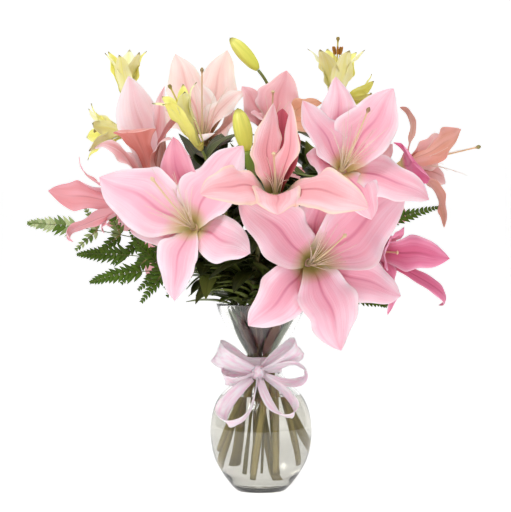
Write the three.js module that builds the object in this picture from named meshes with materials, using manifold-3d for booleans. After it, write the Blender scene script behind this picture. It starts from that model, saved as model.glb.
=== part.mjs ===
// A bouquet of pink lilies, yellow-green lilies, buds and fern fronds standing in a glass trumpet
// vase with a ribbon bow. Millimetres, +Z up, the middle of the vase's flat foot at the origin.
import * as THREE from 'three';
import Module from 'manifold-3d';

const wasm = await Module();
wasm.setup();
const { Manifold, Mesh: TriangleMesh } = wasm;

// ---------------------------------------------------------------- sizes

const AIR = 0.35; // air left between pieces that rest on each other

// Vase, outside: [radius, height] from the middle of the foot to the lip.
const VASE_OUTSIDE = [
  [0, 0], [23, 0], [29, 5], [38, 17], [47, 34], [51, 57], [49, 77], [42, 94], [30, 107],
  [19.5, 118.5], [17.5, 125], [20, 137], [31, 156], [41, 176], [45, 187],
];
const VASE_INSIDE = [
  [0, 9], [24, 9], [35, 17.5], [44, 35], [48, 57], [46, 76.5], [39.2, 92.5], [27.6, 105],
  [17, 117], [15, 125], [17.2, 138], [28.3, 157.5], [38.5, 177], [42.6, 188],
];
const VASE_SIDES = 18;
const HOLE_SIDES = 6; // of the holes the stems leave in the water
const WATER_LEVEL = 95;

// Stems stand in the neck as the straight lines of one hyperboloid, so none of them cross.
const NECK_HEIGHT = 128;
const BEND_HEIGHT = 190; // above this each stem bends towards its blooms
const LILY_RING = 10.8; // distance of the lily stems from the vase's axis in the neck
const LILY_RADIUS = 3.1;
const FERN_RING = 4.6;
const FERN_RADIUS = 1.15;
const FERN_LEAN = 0.12; // sideways travel of a stem for each millimetre of height
const FERN_FOOT = 24;
const FROND_THICK = 0.8;
const LEAF_THICK = 0.9;
const FUSING = 0.08; // fused shapes keep their faces to within this

const PETAL_MIDDLE = 1.5; // thickness along the midrib
const PETAL_EDGE = 0.9;
const INNER_CUP = 0.5; // how far a petal's edges rise, as a share of its half width
const OUTER_CUP = 0.12;
const LAYER_GAP = 2.1; // the outer petals stand this much further from the axis at the root
const TUBE_SHARE = 1.2; // greatest half width for each millimetre from the bloom's axis
const SLIM_SHARE = 0.6; // the same in the small lilies
const LAYER_STEP = 0.1; // the inner petals lie in front of the outer ones by this share of width

// Petals: [clock, reach, forward, width, curl, sway, twist, cup], inner and outer by turns. The
// clock angle is seen by someone facing the bloom; reach is the tip's distance from the bloom's
// axis and forward its distance along that axis; curl turns the tip outwards.
function whorl(first, reach, forward, width, curl, narrow) {
  const petals = [];
  for (let i = 0; i < 6; i += 1) {
    const inner = i % 2 === 0;
    const across = inner ? width : width * narrow;
    petals.push([first + 60 * i, inner ? reach * 0.93 : reach, forward, across, curl]);
  }
  return petals;
}

// Pink lilies: at is the throat, az the facing (0 towards -Y, 90 towards +X), el the tilt up;
// stigma is [az, el, distance] of the pistil's end from the throat.
const PINK_LILIES = {
  a: {
    at: [45, -84, 228], az: 18, el: 0, grid: [4, 3], filaments: 6, stigma: [38, 26, 62],
    petals: [
      [-50, 96, 14, 56, 20], [4, 80, 24, 46, 10], [51, 122, 16, 70, 20],
      [109, 101, 6, 46, 30], [162, 88, 18, 58, 25], [227, 88, 12, 50, 40],
    ],
  },
  b: {
    at: [76, -98, 315], az: 12, el: 24, grid: [4, 3], filaments: 6, stigma: [30, 50, 75],
    petals: [
      [-42, 64, 50, 38, 0], [-7, 72, 52, 42, -5], [36, 76, 52, 54, 5],
      [112, 88, 8, 44, 40], [156, 58, 4, 36, 50, 0, 0, 0.1], [-74, 38, 14, 34, 40],
    ],
  },
  c: {
    at: [13, -132, 291], az: 0, el: 50, from: [0, -25], grid: [4, 2], filaments: 3,
    stigma: [-4, 54, 48],
    petals: [
      [-50, 26, 76, 42, -10, 30, 0, -0.5], [8, 44, 66, 40, -20, 0, 0, 0.6],
      [60, 34, 72, 26, -10, -33, 0, 0.6], [122, 97, 28, 48, 25, 0, 35], [178, 46, 14, 44, 50],
      [-116, 76, 28, 46, 35, 0, -35],
    ],
  },
  d: {
    at: [-64, -92, 262], az: -18, el: 14, grid: [4, 3], filaments: 6, stigma: [-45, 40, 72],
    petals: [
      [-65, 98, 34, 64, 15], [-14, 86, 26, 38, 20, 0, 0, 0.3], [38, 88, 34, 56, 15],
      [114, 66, 4, 46, 55], [191, 76, 14, 40, 40, -6], [-98, 58, 20, 38, 10],
    ],
  },
  e: {
    at: [-128, -20, 286], az: -86, el: 2, grid: [3, 2], filaments: 0, stigma: [-86, 2, 22],
    petals: [
      [66, 22, 82, 40, 12], [146, 50, 58, 24, 100], [190, 30, 26, 24, 100],
      [240, 30, 10, 26, 70], [300, 44, 60, 24, 50], [0, 44, 56, 26, 40],
    ],
  },
  f: {
    at: [-104, -14, 300], az: -25, el: 62, grid: [3, 2], filaments: 0, stigma: [-25, 62, 20],
    petals: [
      [175, 32, 80, 78, 60, 0, 0, 0.2], [-112, 50, 60, 36, 60], [-30, 30, 112, 52, 0],
      [20, 40, 96, 26, 20], [60, 44, 76, 32, 40], [100, 34, 60, 28, 60],
    ],
  },
  g: {
    at: [-60, 50, 350], az: 0, el: 52, grid: [3, 2], filaments: 3, stigma: [0, 80, 78],
    petals: [
      [-20, 82, 62, 46, 10], [16, 88, 62, 48, 5], [70, 50, 54, 32, 50],
      [98, 52, 32, 34, 90], [180, 40, 30, 34, 60], [-80, 60, 40, 36, 50],
    ],
  },
  i: {
    at: [10, 36, 358], az: 5, el: 48, grid: [3, 2], filaments: 3, stigma: [5, 60, 50],
    petals: [
      [20, 48, 48, 46, 15], [80, 52, 36, 30, 60], [122, 56, 30, 38, 60],
      [180, 46, 20, 26, 60], [-108, 24, 34, 22, 50], [-46, 40, 42, 34, 20],
    ],
  },
  j: {
    at: [142, 0, 324], az: 80, el: 16, grid: [3, 2], filaments: 3, stigma: [80, 14, 80],
    petals: [
      [-52, 26, 68, 46, 15], [6, 60, 14, 20, 68, 0, 40], [60, 40, 46, 34, 40],
      [120, 50, 34, 28, 50], [190, 72, 24, 28, 45, 0, -40], [-92, 36, 14, 54, 60, 0, 30],
    ],
  },
  k: {
    at: [106, -28, 240], az: 62, el: -4, grid: [3, 2], filaments: 0, stigma: [62, -4, 32],
    petals: [
      [78, 40, 70, 36, 30, 12], [128, 86, 52, 16, 90], [180, 62, 26, 30, 50],
      [-120, 28, 30, 24, 60], [-50, 24, 30, 24, 60], [16, 26, 34, 22, 50],
    ],
  },
  m: {
    at: [74, 92, 292], az: 150, el: 14, grid: [3, 2], filaments: 3, stigma: [150, 14, 60],
    petals: whorl(10, 84, 34, 44, 35, 0.72),
  },
  n: {
    at: [-74, 96, 276], az: -150, el: 10, grid: [3, 2], filaments: 3, stigma: [-150, 10, 60],
    petals: whorl(40, 84, 34, 44, 35, 0.72),
  },
};

// Small yellow-green lilies, not yet fully open, each with its own pistil.
const YELLOW_LILIES = {
  y1: { at: [-138, 60, 396], az: -10, el: 78, petals: whorl(0, 22, 50, 22, 20, 0.8), pistil: 40 },
  y2: { at: [-136, 30, 360], az: -80, el: 2, petals: whorl(20, 30, 40, 21, 30, 0.8), pistil: 34 },
  y3: { at: [-60, -58, 342], az: -60, el: 60, petals: whorl(-30, 24, 58, 22, 45, 0.8), pistil: 66 },
  y4: { at: [76, 40, 388], az: 20, el: 84, petals: whorl(0, 30, 58, 29, 30, 0.8), pistil: 70 },
  y5: { at: [88, 76, 398], az: 90, el: 10, petals: whorl(0, 22, 32, 16, 30, 0.8), pistil: 28 },
};

// Closed buds: at is the foot of the bud, to its tip.
const BUDS = {
  b1: { at: [-3, 55, 426], to: [-32, 55, 459], radius: 8 },
  b2: { at: [-14, -70, 335], to: [-23, -70, 377], radius: 9.5 },
};

// Lily stems: bearing is where each one heads, lean its sideways travel in the vase and foot the
// height of its cut end. The first head ends the stem and the others leave it at the given
// share of its bent part. Leaves: [height in the vase, or share of the bent part; bearing,
// length, rise at the root, rise at the tip, width].
const STEMS = {
  s0: {
    bearing: -10, lean: 0.45, foot: 42, heads: [['j', 1], ['k', 0.15]],
    leaves: [[150, -47, 45, 66, 56, 12], [0.3, -62, 50, 0, -30, 18]],
  },
  s1: {
    bearing: -55, lean: 0.3, foot: 24, heads: [['b', 1], ['a', 0.2]],
    leaves: [[150, -86, 45, 66, 56, 9], [0.12, -45, 60, 20, -10, 16], [0.3, -88, 46, 10, -30, 16]],
  },
  s2: {
    bearing: -100, lean: 0.4, foot: 34, heads: [['c', 1], ['b2', 0.5]],
    leaves: [
      [150, -140, 45, 66, 56, 12], [0.18, -112, 58, 4, -34, 20], [0.26, -142, 62, 0, -30, 20],
      [0.36, -100, 56, 14, -30, 18],
    ],
  },
  s3: {
    bearing: -145, lean: 0.25, foot: 18, heads: [['y3', 1], ['d', 0.25]],
    leaves: [
      [150, -168, 45, 66, 56, 9], [0.28, -176, 60, 26, -20, 16], [0.34, -138, 62, 16, -40, 18],
      [0.42, 175, 60, 10, -30, 18],
    ],
  },
  s4: {
    bearing: 175, lean: 0.42, foot: 36, heads: [['f', 1], ['e', 0.4], ['y2', 0.7]],
    leaves: [[150, 137, 45, 66, 56, 12]],
  },
  s5: {
    bearing: 125, lean: 0.35, foot: 30, heads: [['g', 1], ['n', 0.2], ['y1', 0.5]],
    leaves: [[150, 84, 45, 66, 56, 12], [0.25, 150, 64, 20, -30, 15]],
  },
  s6: {
    bearing: 80, lean: 0.28, foot: 22, heads: [['i', 1], ['b1', 0.5]],
    leaves: [[150, 33, 45, 66, 56, 12], [0.3, 95, 64, 30, -20, 15], [0.45, 60, 60, 20, -20, 14]],
  },
  s7: {
    bearing: 35, lean: 0.22, foot: 16, heads: [['y4', 1], ['m', 0.25], ['y5', 0.75]],
    leaves: [[0.2, 35, 64, 20, -30, 15]],
  },
};

// Fern fronds: bearing steers them out between two lily stems; tip is the end of the frond, end
// its [bearing, rise] there, face the way its upper side looks, reach its longest leaflet.
const FRONDS = {
  a: {
    bearing: 150, tip: [-237, 32, 268], end: [180, 2],
    face: [-0.1, -0.95, 0.3], reach: 48, pairs: 8, rows: 2,
  },
  b: {
    bearing: 198, first: 0.45, tip: [-183, -6, 236], end: [182, -4],
    face: [-0.15, -0.9, 0.4], reach: 48, pairs: 5, rows: 2,
  },
  c: {
    bearing: -104, first: 0.5, tip: [-165, -64, 209], end: [205, -20],
    face: [-0.2, -0.95, 0.3], reach: 44, pairs: 4, rows: 2,
  },
  d: {
    bearing: -68, tip: [-6, -86, 204], end: [235, -10],
    face: [-0.2, -0.9, 0.4], reach: 40, pairs: 4, rows: 1,
  },
  e: {
    bearing: -34, tip: [122, -50, 186], end: [-20, -20],
    face: [0.1, -0.9, 0.4], reach: 40, pairs: 4, rows: 1,
  },
  f: {
    bearing: 17, tip: [180, 25, 284], end: [8, 12],
    face: [0.1, -0.85, 0.5], reach: 32, pairs: 6, rows: 1,
  },
  g: {
    bearing: 107, tip: [-20, 150, 225], end: [95, -20],
    face: [0, 0.3, 0.95], reach: 34, pairs: 5, rows: 1,
  },
  h: {
    bearing: 57, tip: [110, 130, 215], end: [50, -20],
    face: [0.2, 0.3, 0.9], reach: 34, pairs: 5, rows: 1,
  },
};

// Ribbon: a band round the neck, a knot and loops. Loops: [bearing in the view plane, length,
// opening, width, turn of its face at the start and at the end, forward lean, fall back towards
// the glass at the far end, roll of the loop's plane about its length].
const RIBBON_THICK = 0.8;
const BAND = [[20.3, 118.5], [18.1, 125], [20, 134.5]];
const BAND_THICK = 1;
const KNOT = { at: [-3, -29, 120], size: [8, 8, 8] };
const LOOPS = [
  [153, 46, 16, 24, 20, -10, 0.2, 0, 70],
  [188, 36, 14, 18, 30, 10, 0.4, 0, 50],
  [32, 48, 16, 22, 20, -10, 0.2, 0, -60],
  [0, 50, 18, 16, 50, 10, 0.4, 0, 0],
  [238, 80, 24, 20, 60, 0, 1.05, 26, 25],
  [309, 74, 20, 20, 60, 0, 1.05, 26, -20],
];

// ---------------------------------------------------------------- solids

const radians = THREE.MathUtils.degToRad;
const clamp01 = (x) => Math.min(Math.max(x, 0), 1);
const point = (p) => new THREE.Vector3(p[0], p[1], p[2]);

function heading(az, el) {
  const flat = Math.cos(radians(el));
  return new THREE.Vector3(
    Math.sin(radians(az)) * flat,
    -Math.cos(radians(az)) * flat,
    Math.sin(radians(el)),
  );
}

// A closed solid from its corners and triangles, turned so that its faces look out.
function closedSolid(corners, triangles) {
  let volume = 0;
  for (const [a, b, c] of triangles) {
    volume += corners[a].dot(corners[b].clone().cross(corners[c]));
  }
  const turned = volume < 0 ? triangles.map(([a, b, c]) => [a, c, b]) : triangles;
  return Manifold.ofMesh(new TriangleMesh({
    numProp: 3,
    vertProperties: new Float32Array(corners.flatMap((p) => [p.x, p.y, p.z])),
    triVerts: new Uint32Array(turned.flat()),
  }));
}

// A blade: two equal grids of points, front and back, joined round their edges.
function blade(front, back) {
  const rows = front.length - 1;
  const columns = front[0].length - 1;
  const corners = [...front.flat(), ...back.flat()];
  const behind = (rows + 1) * (columns + 1);
  const triangles = [];
  const at = (i, j) => i * (columns + 1) + j;
  const quad = (a, b, c, d) => triangles.push([a, b, c], [a, c, d]);
  for (let i = 0; i < rows; i += 1) {
    for (let j = 0; j < columns; j += 1) {
      const [a, b, c, d] = [at(i, j), at(i, j + 1), at(i + 1, j + 1), at(i + 1, j)];
      quad(a, b, c, d);
      quad(behind + a, behind + d, behind + c, behind + b);
    }
    quad(at(i, 0), at(i + 1, 0), behind + at(i + 1, 0), behind + at(i, 0));
    quad(at(i, columns), behind + at(i, columns), behind + at(i + 1, columns), at(i + 1, columns));
  }
  for (let j = 0; j < columns; j += 1) {
    quad(at(0, j), behind + at(0, j), behind + at(0, j + 1), at(0, j + 1));
    quad(at(rows, j), at(rows, j + 1), behind + at(rows, j + 1), behind + at(rows, j));
  }
  return closedSolid(corners, triangles);
}

// A tube along a path of points with a radius at each, its ends closed flat.
function tube(path, radii, sides) {
  const corners = [];
  const triangles = [];
  const last = path.length - 1;
  let across = new THREE.Vector3(0.2, 1, 0.1);
  path.forEach((middle, i) => {
    const ahead = path[Math.min(i + 1, last)].clone().sub(path[Math.max(i - 1, 0)]).normalize();
    across = across.clone().addScaledVector(ahead, -across.dot(ahead)).normalize();
    const other = ahead.clone().cross(across);
    for (let k = 0; k < sides; k += 1) {
      const turn = (2 * Math.PI * k) / sides;
      corners.push(middle.clone()
        .addScaledVector(across, radii[i] * Math.cos(turn))
        .addScaledVector(other, radii[i] * Math.sin(turn)));
    }
  });
  for (let i = 0; i < last; i += 1) {
    for (let k = 0; k < sides; k += 1) {
      const a = i * sides + k;
      const b = i * sides + ((k + 1) % sides);
      triangles.push([a, b, b + sides], [a, b + sides, a + sides]);
    }
  }
  for (let k = 1; k < sides - 1; k += 1) {
    triangles.push([0, k + 1, k]);
    triangles.push([last * sides, last * sides + k, last * sides + k + 1]);
  }
  return closedSolid(corners, triangles);
}

// A solid of revolution about the line from origin along axis; profile [radius, distance] runs
// from one point on the axis to another.
function spun(profile, sides, origin, axis) {
  const across = new THREE.Vector3(1, 0, 0);
  if (Math.abs(axis.x) > 0.9) across.set(0, 1, 0);
  across.addScaledVector(axis, -across.dot(axis)).normalize();
  const other = axis.clone().cross(across);
  const corners = [];
  const triangles = [];
  const rings = profile.slice(1, -1);
  rings.forEach(([radius, distance]) => {
    for (let k = 0; k < sides; k += 1) {
      const turn = (2 * Math.PI * k) / sides;
      corners.push(origin.clone()
        .addScaledVector(axis, distance)
        .addScaledVector(across, radius * Math.cos(turn))
        .addScaledVector(other, radius * Math.sin(turn)));
    }
  });
  const foot = corners.length;
  corners.push(origin.clone().addScaledVector(axis, profile[0][1]));
  corners.push(origin.clone().addScaledVector(axis, profile[profile.length - 1][1]));
  const top = (rings.length - 1) * sides;
  for (let k = 0; k < sides; k += 1) {
    const next = (k + 1) % sides;
    triangles.push([foot, next, k], [foot + 1, top + k, top + next]);
    for (let i = 0; i < rings.length - 1; i += 1) {
      const a = i * sides + k;
      const b = i * sides + next;
      triangles.push([a, b, b + sides], [a, b + sides, a + sides]);
    }
  }
  return closedSolid(corners, triangles);
}

// Shapes sunk into one another, made one body; hollows sealed by the fusing are filled.
function fused(parts) {
  const bodies = Manifold.union(parts).simplify(FUSING).decompose();
  return bodies.reduce((largest, body) => (body.volume() > largest.volume() ? body : largest));
}

const UP = new THREE.Vector3(0, 0, 1);
const ORIGIN = new THREE.Vector3(0, 0, 0);

function cubicPoints(p0, p1, p2, p3, steps) {
  return new THREE.CubicBezierCurve3(p0, p1, p2, p3).getPoints(steps);
}

// ---------------------------------------------------------------- petals

// A petal's half width along its length, as a share of its greatest half width.
function petalShare(u) {
  const rise = clamp01(u / 0.45);
  const fall = 1 - clamp01((u - 0.45) / 0.55) ** 1.9;
  const root = 0.3;
  const opening = root + (1 - root) * rise * rise * (3 - 2 * rise);
  return Math.max(opening * fall ** 0.8, 0.05);
}

// The two faces of a petal. Its midrib is a cubic curve in the plane of the bloom's axis and
// the petal's clock direction; across it the petal is cupped towards the axis near its root.
function petalFaces(bloom, place, rows, columns, rootRadius, tubeShare) {
  const petal = bloom.petals[place];
  const layer = place % 2 === 0 ? 0.5 : -0.5;
  const rootAt = layer > 0 ? rootRadius : rootRadius + LAYER_GAP;
  const [clock, reach, forward, width, curl, sway = 0, twist = 0] = petal;
  const cup = petal[7] ?? (layer > 0 ? INNER_CUP : OUTER_CUP);
  const axis = heading(bloom.az, bloom.el);
  const right = new THREE.Vector3(Math.cos(radians(bloom.az)), Math.sin(radians(bloom.az)), 0);
  const up = axis.clone().cross(right);
  const outward = up.clone().multiplyScalar(Math.cos(radians(clock)))
    .addScaledVector(right, Math.sin(radians(clock)));
  const side = outward.clone().cross(axis);
  const span = Math.hypot(reach - rootAt, forward);
  const slope = Math.atan2(reach - rootAt, forward);
  const leave = 0.38 * slope;
  const arrive = slope + radians(curl);
  const ends = [
    [rootAt, 0],
    [rootAt + Math.sin(leave) * 0.34 * span, Math.cos(leave) * 0.34 * span],
    [reach - Math.sin(arrive) * 0.38 * span, forward - Math.cos(arrive) * 0.38 * span],
    [reach, forward],
  ];
  const front = [];
  const back = [];
  for (let i = 0; i <= rows; i += 1) {
    const u = i / rows;
    const w = 1 - u;
    const mix = (k) => w ** 3 * ends[0][k] + 3 * w * w * u * ends[1][k]
      + 3 * w * u * u * ends[2][k] + u ** 3 * ends[3][k];
    const pace = (k) => 3 * w * w * (ends[1][k] - ends[0][k])
      + 6 * w * u * (ends[2][k] - ends[1][k]) + 3 * u * u * (ends[3][k] - ends[2][k]);
    const middle = point(bloom.at)
      .addScaledVector(outward, mix(0))
      .addScaledVector(axis, mix(1))
      .addScaledVector(side, sway * u * u);
    const along = outward.clone().multiplyScalar(pace(0))
      .addScaledVector(axis, pace(1))
      .addScaledVector(side, 2 * sway * u)
      .normalize();
    const facing = axis.clone().multiplyScalar(pace(0)).addScaledVector(outward, -pace(1));
    const across = facing.cross(along).normalize();
    const normal = along.clone().cross(across);
    const turn = radians(twist) * u;
    const across2 = across.clone().multiplyScalar(Math.cos(turn))
      .addScaledVector(normal, Math.sin(turn));
    const normal2 = normal.clone().multiplyScalar(Math.cos(turn))
      .addScaledVector(across, -Math.sin(turn));
    const halfWidth = Math.min((width / 2) * petalShare(u), tubeShare * mix(0));
    const cupping = cup * (1 - 1.35 * u) * halfWidth;
    middle.addScaledVector(normal, layer * LAYER_STEP * 2 * halfWidth * (1 - u));
    const frontRow = [];
    const backRow = [];
    for (let j = 0; j <= columns; j += 1) {
      const v = (2 * j) / columns - 1;
      const thickness = PETAL_EDGE + (PETAL_MIDDLE - PETAL_EDGE) * (1 - v * v);
      const skin = middle.clone()
        .addScaledVector(across2, v * halfWidth)
        .addScaledVector(normal2, v * v * cupping);
      frontRow.push(skin.clone().addScaledVector(normal2, thickness / 2));
      backRow.push(skin.clone().addScaledVector(normal2, -thickness / 2));
    }
    front.push(frontRow);
    back.push(backRow);
  }
  return [front, back];
}

function pinkLily(bloom) {
  const axis = heading(bloom.az, bloom.el);
  const cup = [[0, -8.65], [4, -7.4], [7.2, 1.2], [0, 1.2]];
  const parts = [spun(cup, 7, point(bloom.at), axis)];
  bloom.petals.forEach((_, place) => {
    parts.push(blade(...petalFaces(bloom, place, bloom.grid[0], bloom.grid[1], 4, TUBE_SHARE)));
  });
  return fused(parts);
}

// Pistil and filaments: curves that leave the throat along the bloom's axis and lean towards
// the stigma; the filaments spread round it.
function lilyStamens(bloom) {
  const axis = heading(bloom.az, bloom.el);
  const throat = point(bloom.at);
  const aim = heading(bloom.stigma[0], bloom.stigma[1]);
  const length = bloom.stigma[2];
  const bend = throat.clone().addScaledVector(axis, 0.42 * length);
  const disc = [[0, 1.55], [2.7, 1.55], [2.7, 3.2], [0, 3.2]];
  const parts = [spun(disc, 6, throat, axis)];
  const curve = (start, end) => new THREE.QuadraticBezierCurve3(start, bend, end);
  const root = throat.clone().addScaledVector(axis, 2.2);
  const tip = throat.clone().addScaledVector(aim, length);
  const style = curve(root, tip);
  const path = [0, 0.45, 0.94, 0.97, 1].map((t) => style.getPoint(t));
  parts.push(tube(path, [0.95, 0.9, 0.85, 2.3, 1.7], 4));
  const first = new THREE.Vector3(0.3, 0.2, 1).cross(axis).normalize();
  const second = axis.clone().cross(first);
  for (let k = 0; k < bloom.filaments; k += 1) {
    const turn = (2 * Math.PI * (k + 0.3)) / bloom.filaments;
    const away = first.clone().multiplyScalar(Math.cos(turn))
      .addScaledVector(second, Math.sin(turn));
    const from = root.clone().addScaledVector(away, 1.9);
    const to = throat.clone().addScaledVector(aim, 0.74 * length)
      .addScaledVector(away, 0.21 * length);
    const filament = new THREE.QuadraticBezierCurve3(
      from,
      bend.clone().addScaledVector(away, 0.07 * length),
      to,
    );
    parts.push(tube(filament.getPoints(2), [0.62, 0.62, 0.62], 3));
  }
  return fused(parts);
}

function yellowLily(bloom) {
  const axis = heading(bloom.az, bloom.el);
  const throat = point(bloom.at);
  const cup = [[0, -5.65], [2.4, -4.8], [4.8, 1], [0, 1]];
  const parts = [spun(cup, 6, throat, axis)];
  bloom.petals.forEach((_, place) => {
    parts.push(blade(...petalFaces(bloom, place, 3, 2, 2.2, SLIM_SHARE)));
  });
  const path = [0, 0.93, 0.97, 1].map((t) => throat.clone().addScaledVector(axis, t * bloom.pistil));
  parts.push(tube(path, [0.9, 0.8, 1.9, 1.4], 4));
  return fused(parts);
}

function closedBud(bud) {
  const axis = point(bud.to).sub(point(bud.at));
  const length = axis.length();
  const shares = [[0, 0], [0.36, 0.02], [0.78, 0.18], [1, 0.48], [0.86, 0.75], [0.45, 0.93], [0, 1]];
  const profile = shares.map(([across, along]) => [across * bud.radius, along * length]);
  return spun(profile, 6, point(bud.at), axis.normalize());
}

// ---------------------------------------------------------------- stems and leaves

// Where a head meets its stem: the end point of the stem and the direction it arrives in.
function headFoot(name) {
  if (BUDS[name]) {
    const bud = BUDS[name];
    const toward = point(bud.to).sub(point(bud.at)).normalize();
    return { end: point(bud.at).addScaledVector(toward, -AIR), toward, radius: 1.7 };
  }
  const small = YELLOW_LILIES[name];
  const bloom = small ?? PINK_LILIES[name];
  const axis = heading(bloom.az, bloom.el);
  const toward = bloom.from ? heading(bloom.from[0], bloom.from[1]) : axis;
  const middle = point(bloom.at).addScaledVector(axis, small ? -2 : -3);
  const away = (small ? 3.65 : 5.65) + AIR;
  return { end: middle.addScaledVector(toward, -away), toward, radius: small ? 1.6 : 2.1 };
}

// The point of a stem at a height in the vase.
function ringPoint(ring, lean, bearing, height) {
  const start = radians(bearing - 75);
  const slide = lean * (height - NECK_HEIGHT);
  return new THREE.Vector3(
    ring * Math.cos(start) - slide * Math.sin(start),
    ring * Math.sin(start) + slide * Math.cos(start),
    height,
  );
}

const lilyPoint = (stem, height) => ringPoint(LILY_RING, stem.lean, stem.bearing, height);
const fernPoint = (frond, height) => ringPoint(FERN_RING, FERN_LEAN, frond.bearing, height);

// The bent upper part of a stem: a cubic curve from its straight part to its end.
function bentPart(start, neck, end, toward, ease) {
  const ahead = start.clone().sub(neck).normalize();
  const length = end.distanceTo(start);
  return new THREE.CubicBezierCurve3(
    start,
    start.clone().addScaledVector(ahead, ease[0] * length),
    end.clone().addScaledVector(toward, -ease[1] * length),
    end,
  );
}

function leafBlade(root, leaf) {
  const [, bearing, length, rise, endRise, width] = leaf;
  const out = new THREE.Vector3(Math.cos(radians(bearing)), Math.sin(radians(bearing)), 0);
  const across = out.clone().cross(UP);
  const shares = [0.35, 0.95, 0.85, 0.08];
  const rows = shares.length - 1;
  const front = [];
  const back = [];
  const middle = root.clone();
  for (let i = 0; i <= rows; i += 1) {
    const u = i / rows;
    const tilt = radians(rise + (endRise - rise) * u);
    const along = out.clone().multiplyScalar(Math.cos(tilt)).addScaledVector(UP, Math.sin(tilt));
    const normal = across.clone().cross(along);
    if (i > 0) middle.addScaledVector(along, length / rows);
    const halfWidth = (width / 2) * shares[i];
    const frontRow = [];
    const backRow = [];
    for (const v of [-1, 1]) {
      const skin = middle.clone().addScaledVector(across, v * halfWidth);
      frontRow.push(skin.clone().addScaledVector(normal, LEAF_THICK / 2));
      backRow.push(skin.clone().addScaledVector(normal, -LEAF_THICK / 2));
    }
    front.push(frontRow);
    back.push(backRow);
  }
  return blade(front, back);
}

function lilyStem(stem) {
  const parts = [];
  const [main] = stem.heads[0];
  const top = headFoot(main);
  const bent = bentPart(
    lilyPoint(stem, BEND_HEIGHT),
    lilyPoint(stem, NECK_HEIGHT),
    top.end,
    top.toward,
    stem.ease ?? [0.4, 0.35],
  );
  const path = [lilyPoint(stem, stem.foot), ...bent.getPoints(5)];
  const radii = path.map((_, i) => LILY_RADIUS - 0.15 * Math.max(i - 1, 0));
  radii[radii.length - 1] = top.radius;
  parts.push(tube(path, radii, 4));
  for (const [name, share] of stem.heads.slice(1)) {
    const head = headFoot(name);
    const start = bent.getPoint(share);
    const length = head.end.distanceTo(start);
    const side = new THREE.CubicBezierCurve3(
      start,
      start.clone().addScaledVector(bent.getTangent(share), 0.35 * length),
      head.end.clone().addScaledVector(head.toward, -0.35 * length),
      head.end,
    ).getPoints(4);
    parts.push(tube(side, side.map(() => head.radius), 4));
  }
  for (const leaf of stem.leaves) {
    const root = leaf[0] > 1 ? lilyPoint(stem, leaf[0]) : bent.getPoint(leaf[0]);
    parts.push(leafBlade(root, leaf));
  }
  return fused(parts);
}

// ---------------------------------------------------------------- ferns

// A thin sheet from points, their normals and triangles; its open edges are walled round.
function sheet(points, normals, triangles, thickness) {
  const corners = [
    ...points.map((p, i) => p.clone().addScaledVector(normals[i], thickness / 2)),
    ...points.map((p, i) => p.clone().addScaledVector(normals[i], -thickness / 2)),
  ];
  const under = points.length;
  const open = new Map();
  const faces = [];
  for (const [a, b, c] of triangles) {
    faces.push([a, b, c], [under + a, under + c, under + b]);
    for (const [from, to] of [[a, b], [b, c], [c, a]]) {
      if (!open.delete(`${to} ${from}`)) open.set(`${from} ${to}`, [from, to]);
    }
  }
  for (const [from, to] of open.values()) {
    faces.push([to, from, under + from], [to, under + from, under + to]);
  }
  return closedSolid(corners, faces);
}

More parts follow.
